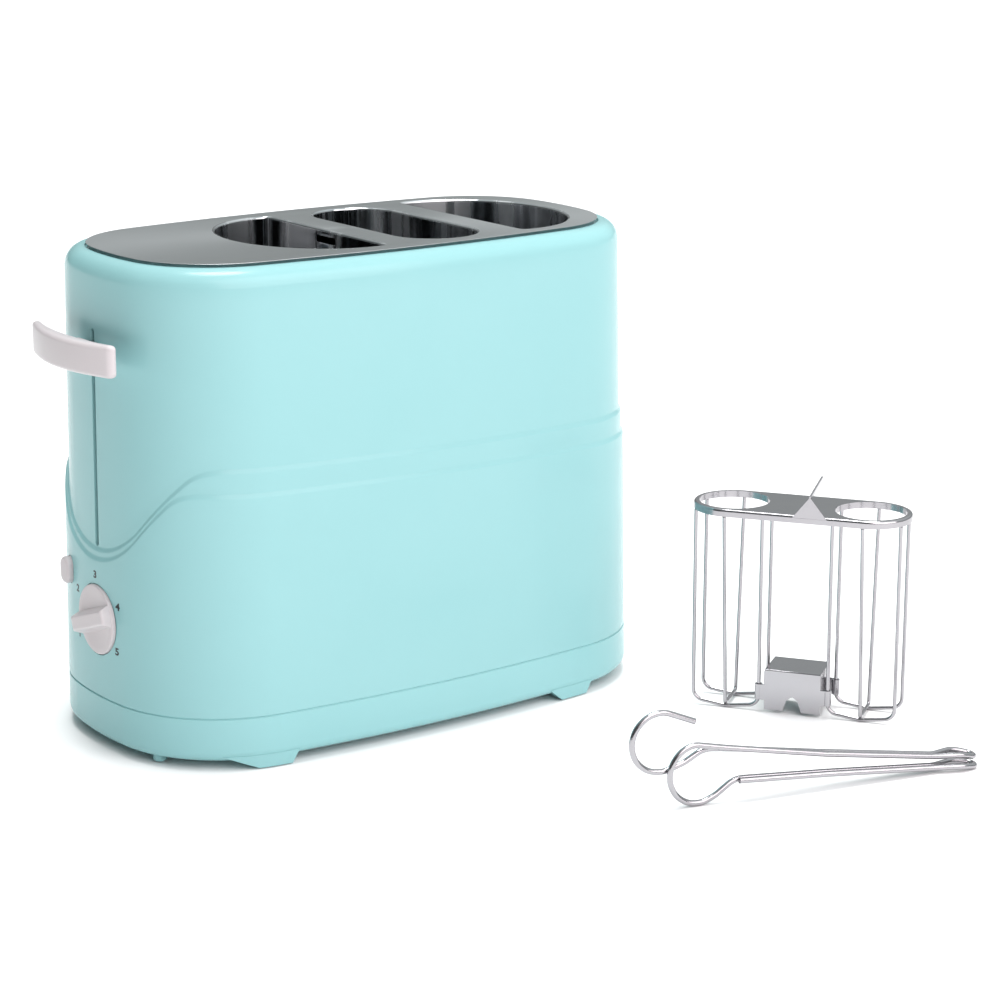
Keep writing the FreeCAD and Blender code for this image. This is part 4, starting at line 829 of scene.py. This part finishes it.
# At the tips the thickness and the rounding shrink a little less than the height does.
sections = []
for y, less, near, far in zip(stations, shrink, FRONT + FRONT_BOW * bow, BACK + BACK_BOW * bow):
    thick = (far - near) / 2
    u, v = rounded_rectangle(max(thick - less * 0.85, 0.3), HANDLE_TALL - less,
                             min(HANDLE_ROUND, thick * 0.8) - less * 0.6)
    sections.append(to_world((near + far) / 2 + u, np.full_like(u, y), HANDLE_MIDDLE + v))
paddle, paddle_faces = stacked(sections, 0)
sections = []
for x, less in BOSS:
    u, v = rounded_rectangle(BOSS_HALF_Y - less, BOSS_HALF_Z - less, BOSS_ROUND)
    sections.append(to_world(np.full_like(u, x), u, BOSS_MIDDLE + v))
boss, boss_faces = stacked(sections, len(paddle))
handle = outward_mesh("handle_paddle", np.concatenate([paddle, boss]), paddle_faces + boss_faces, join=True)
new_piece("handle_paddle", handle, "carriage", "control_plastic", "lever_handle")
handle.set_sharp_from_angle(angle=math.radians(50))


# %% [markdown]
# ## Numbers round the dial
# The numbers are flat shapes cut from Blender's own font. Each is made a mesh first, and then every
# point is dropped onto the wall, so the print follows the curve exactly.

# %% Dial numbers
NUMBERS = (("1", 214.0), ("2", 152.0), ("3", 90.0), ("4", 28.0), ("5", -34.0))      # figure, degrees
ACROSS, UP = 20.3, 19.6                                # half axes of the oval that the numbers stand on
WIDER, PROUD = 1.35, 0.03                              # figures are drawn wide, and stand off the wall
ink = Finish("number_ink", Roughness=0.45)
ink.set(Base_Color=ink.mix(ink.noise(900), tone(10, 22, 26), tone(16, 30, 34)))
finishes["number_ink"] = ink.material
for figure, turn in NUMBERS:
    text = bpy.data.curves.new("number_" + figure, "FONT")
    text.body, text.size, text.extrude, text.offset = figure, 4.4, 0.03, 0.15
    text.align_x, text.align_y = "CENTER", "CENTER"
    writer = link("writer", text)
    number = finished_mesh(writer)
    bpy.data.objects.remove(writer)
    drawn = points_of(number)
    angle = math.radians(turn)
    y = DIAL_Y + 1.0 - ACROSS * math.cos(angle) - WIDER * drawn[:, 0]
    z = DIAL_Z + UP * math.sin(angle) + drawn[:, 1]
    number.vertices.foreach_set("co", to_world(end_wall(y, z) - PROUD - drawn[:, 2], y, z).ravel())
    number.materials.clear()
    number.materials.append(finishes["number_ink"])
    printed = link("number_" + figure, number)
    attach(printed, "housing")
print("numbers printed:", len(NUMBERS))


# %% [markdown]
# ## Floor
# The set stands on pale matt paper. The sheet is far wider than the picture, so that its far edge stays
# out of sight, and a faint drift in its tone keeps it from looking like a blank screen.

# %% Floor
REACH = 40                                             # metres from the middle to each edge
paper = Finish("paper", Roughness=0.9)
paper.set(Base_Color=paper.mix(paper.noise(3), (0.92, 0.92, 0.92, 1), (0.9, 0.9, 0.9, 1)))
floor_mesh = bpy.data.meshes.new("floor")
floor_mesh.from_pydata([(-REACH, -REACH, 0), (REACH, -REACH, 0), (REACH, REACH, 0), (-REACH, REACH, 0)],
                       [], [(0, 1, 2, 3)])
floor_mesh.materials.append(paper.material)
link("floor", floor_mesh)
print("floor:", 2 * REACH, "m wide")


# %% [markdown]
# ## Light
# A wide panel stands in front, so that the long side is bright and the lever end falls into soft shade.
# A broad sun overhead lights the floor and draws the shadows under the base.

# %% Panel and sun
PANEL_PLACE, PANEL_AIM = np.array((0.05, -1.85, 1.35)), np.array((0, 0, 0.1))
panel = bpy.data.lights.new("front_panel", "AREA")
panel.shape, panel.size, panel.size_y, panel.energy = "RECTANGLE", 2.6, 2.1, 52
panel.color = (1.0, 0.92, 0.935)
front_panel = link("front_panel", panel)
front_panel.location = PANEL_PLACE
towards = PANEL_AIM - PANEL_PLACE
front_panel.rotation_euler = (math.atan2(math.hypot(towards[0], towards[1]), -towards[2]), 0,
                              math.atan2(towards[1], towards[0]) - math.pi / 2)
sky = bpy.data.lights.new("overhead", "SUN")
sky.energy, sky.angle = 2.4, math.radians(26)
link("overhead", sky).rotation_euler = (math.radians(-6), math.radians(4), 0)
print("panel aimed from", PANEL_PLACE.tolist(), "m, at", panel.energy, "W")


# %% [markdown]
# ## The studio round it
# Polished steel shows what stands round it, and an even world would leave it flat. A picture of a studio
# could be wrapped round the scene, but one formula is enough: the world grows brighter upwards and to
# the right, with the dot product of the direction looked in and one bright direction.

# %% World
BRIGHT_WAY = (0.39, 0, 0.92)
world = bpy.data.worlds.new("studio")
world.use_nodes = True
studio = Graph(world.node_tree)
looking = studio.add("TexCoord", output="Generated")
share = studio.add("VectorMath", {0: looking, 1: BRIGHT_WAY}, output="Value", operation="DOT_PRODUCT")
strength = studio.add("MapRange", {"Value": share, "From Min": 0.2, "From Max": 0.92, "To Min": 0.14,
                                   "To Max": 1.0}, output="Result")
background = world.node_tree.nodes["Background"].inputs
feed(world.node_tree, background["Strength"], strength)
feed(world.node_tree, background["Color"], (0.94, 1, 1, 1))
bpy.context.scene.world = world
bpy.context.scene.view_settings.view_transform = "Standard"
print("world nodes:", len(world.node_tree.nodes))
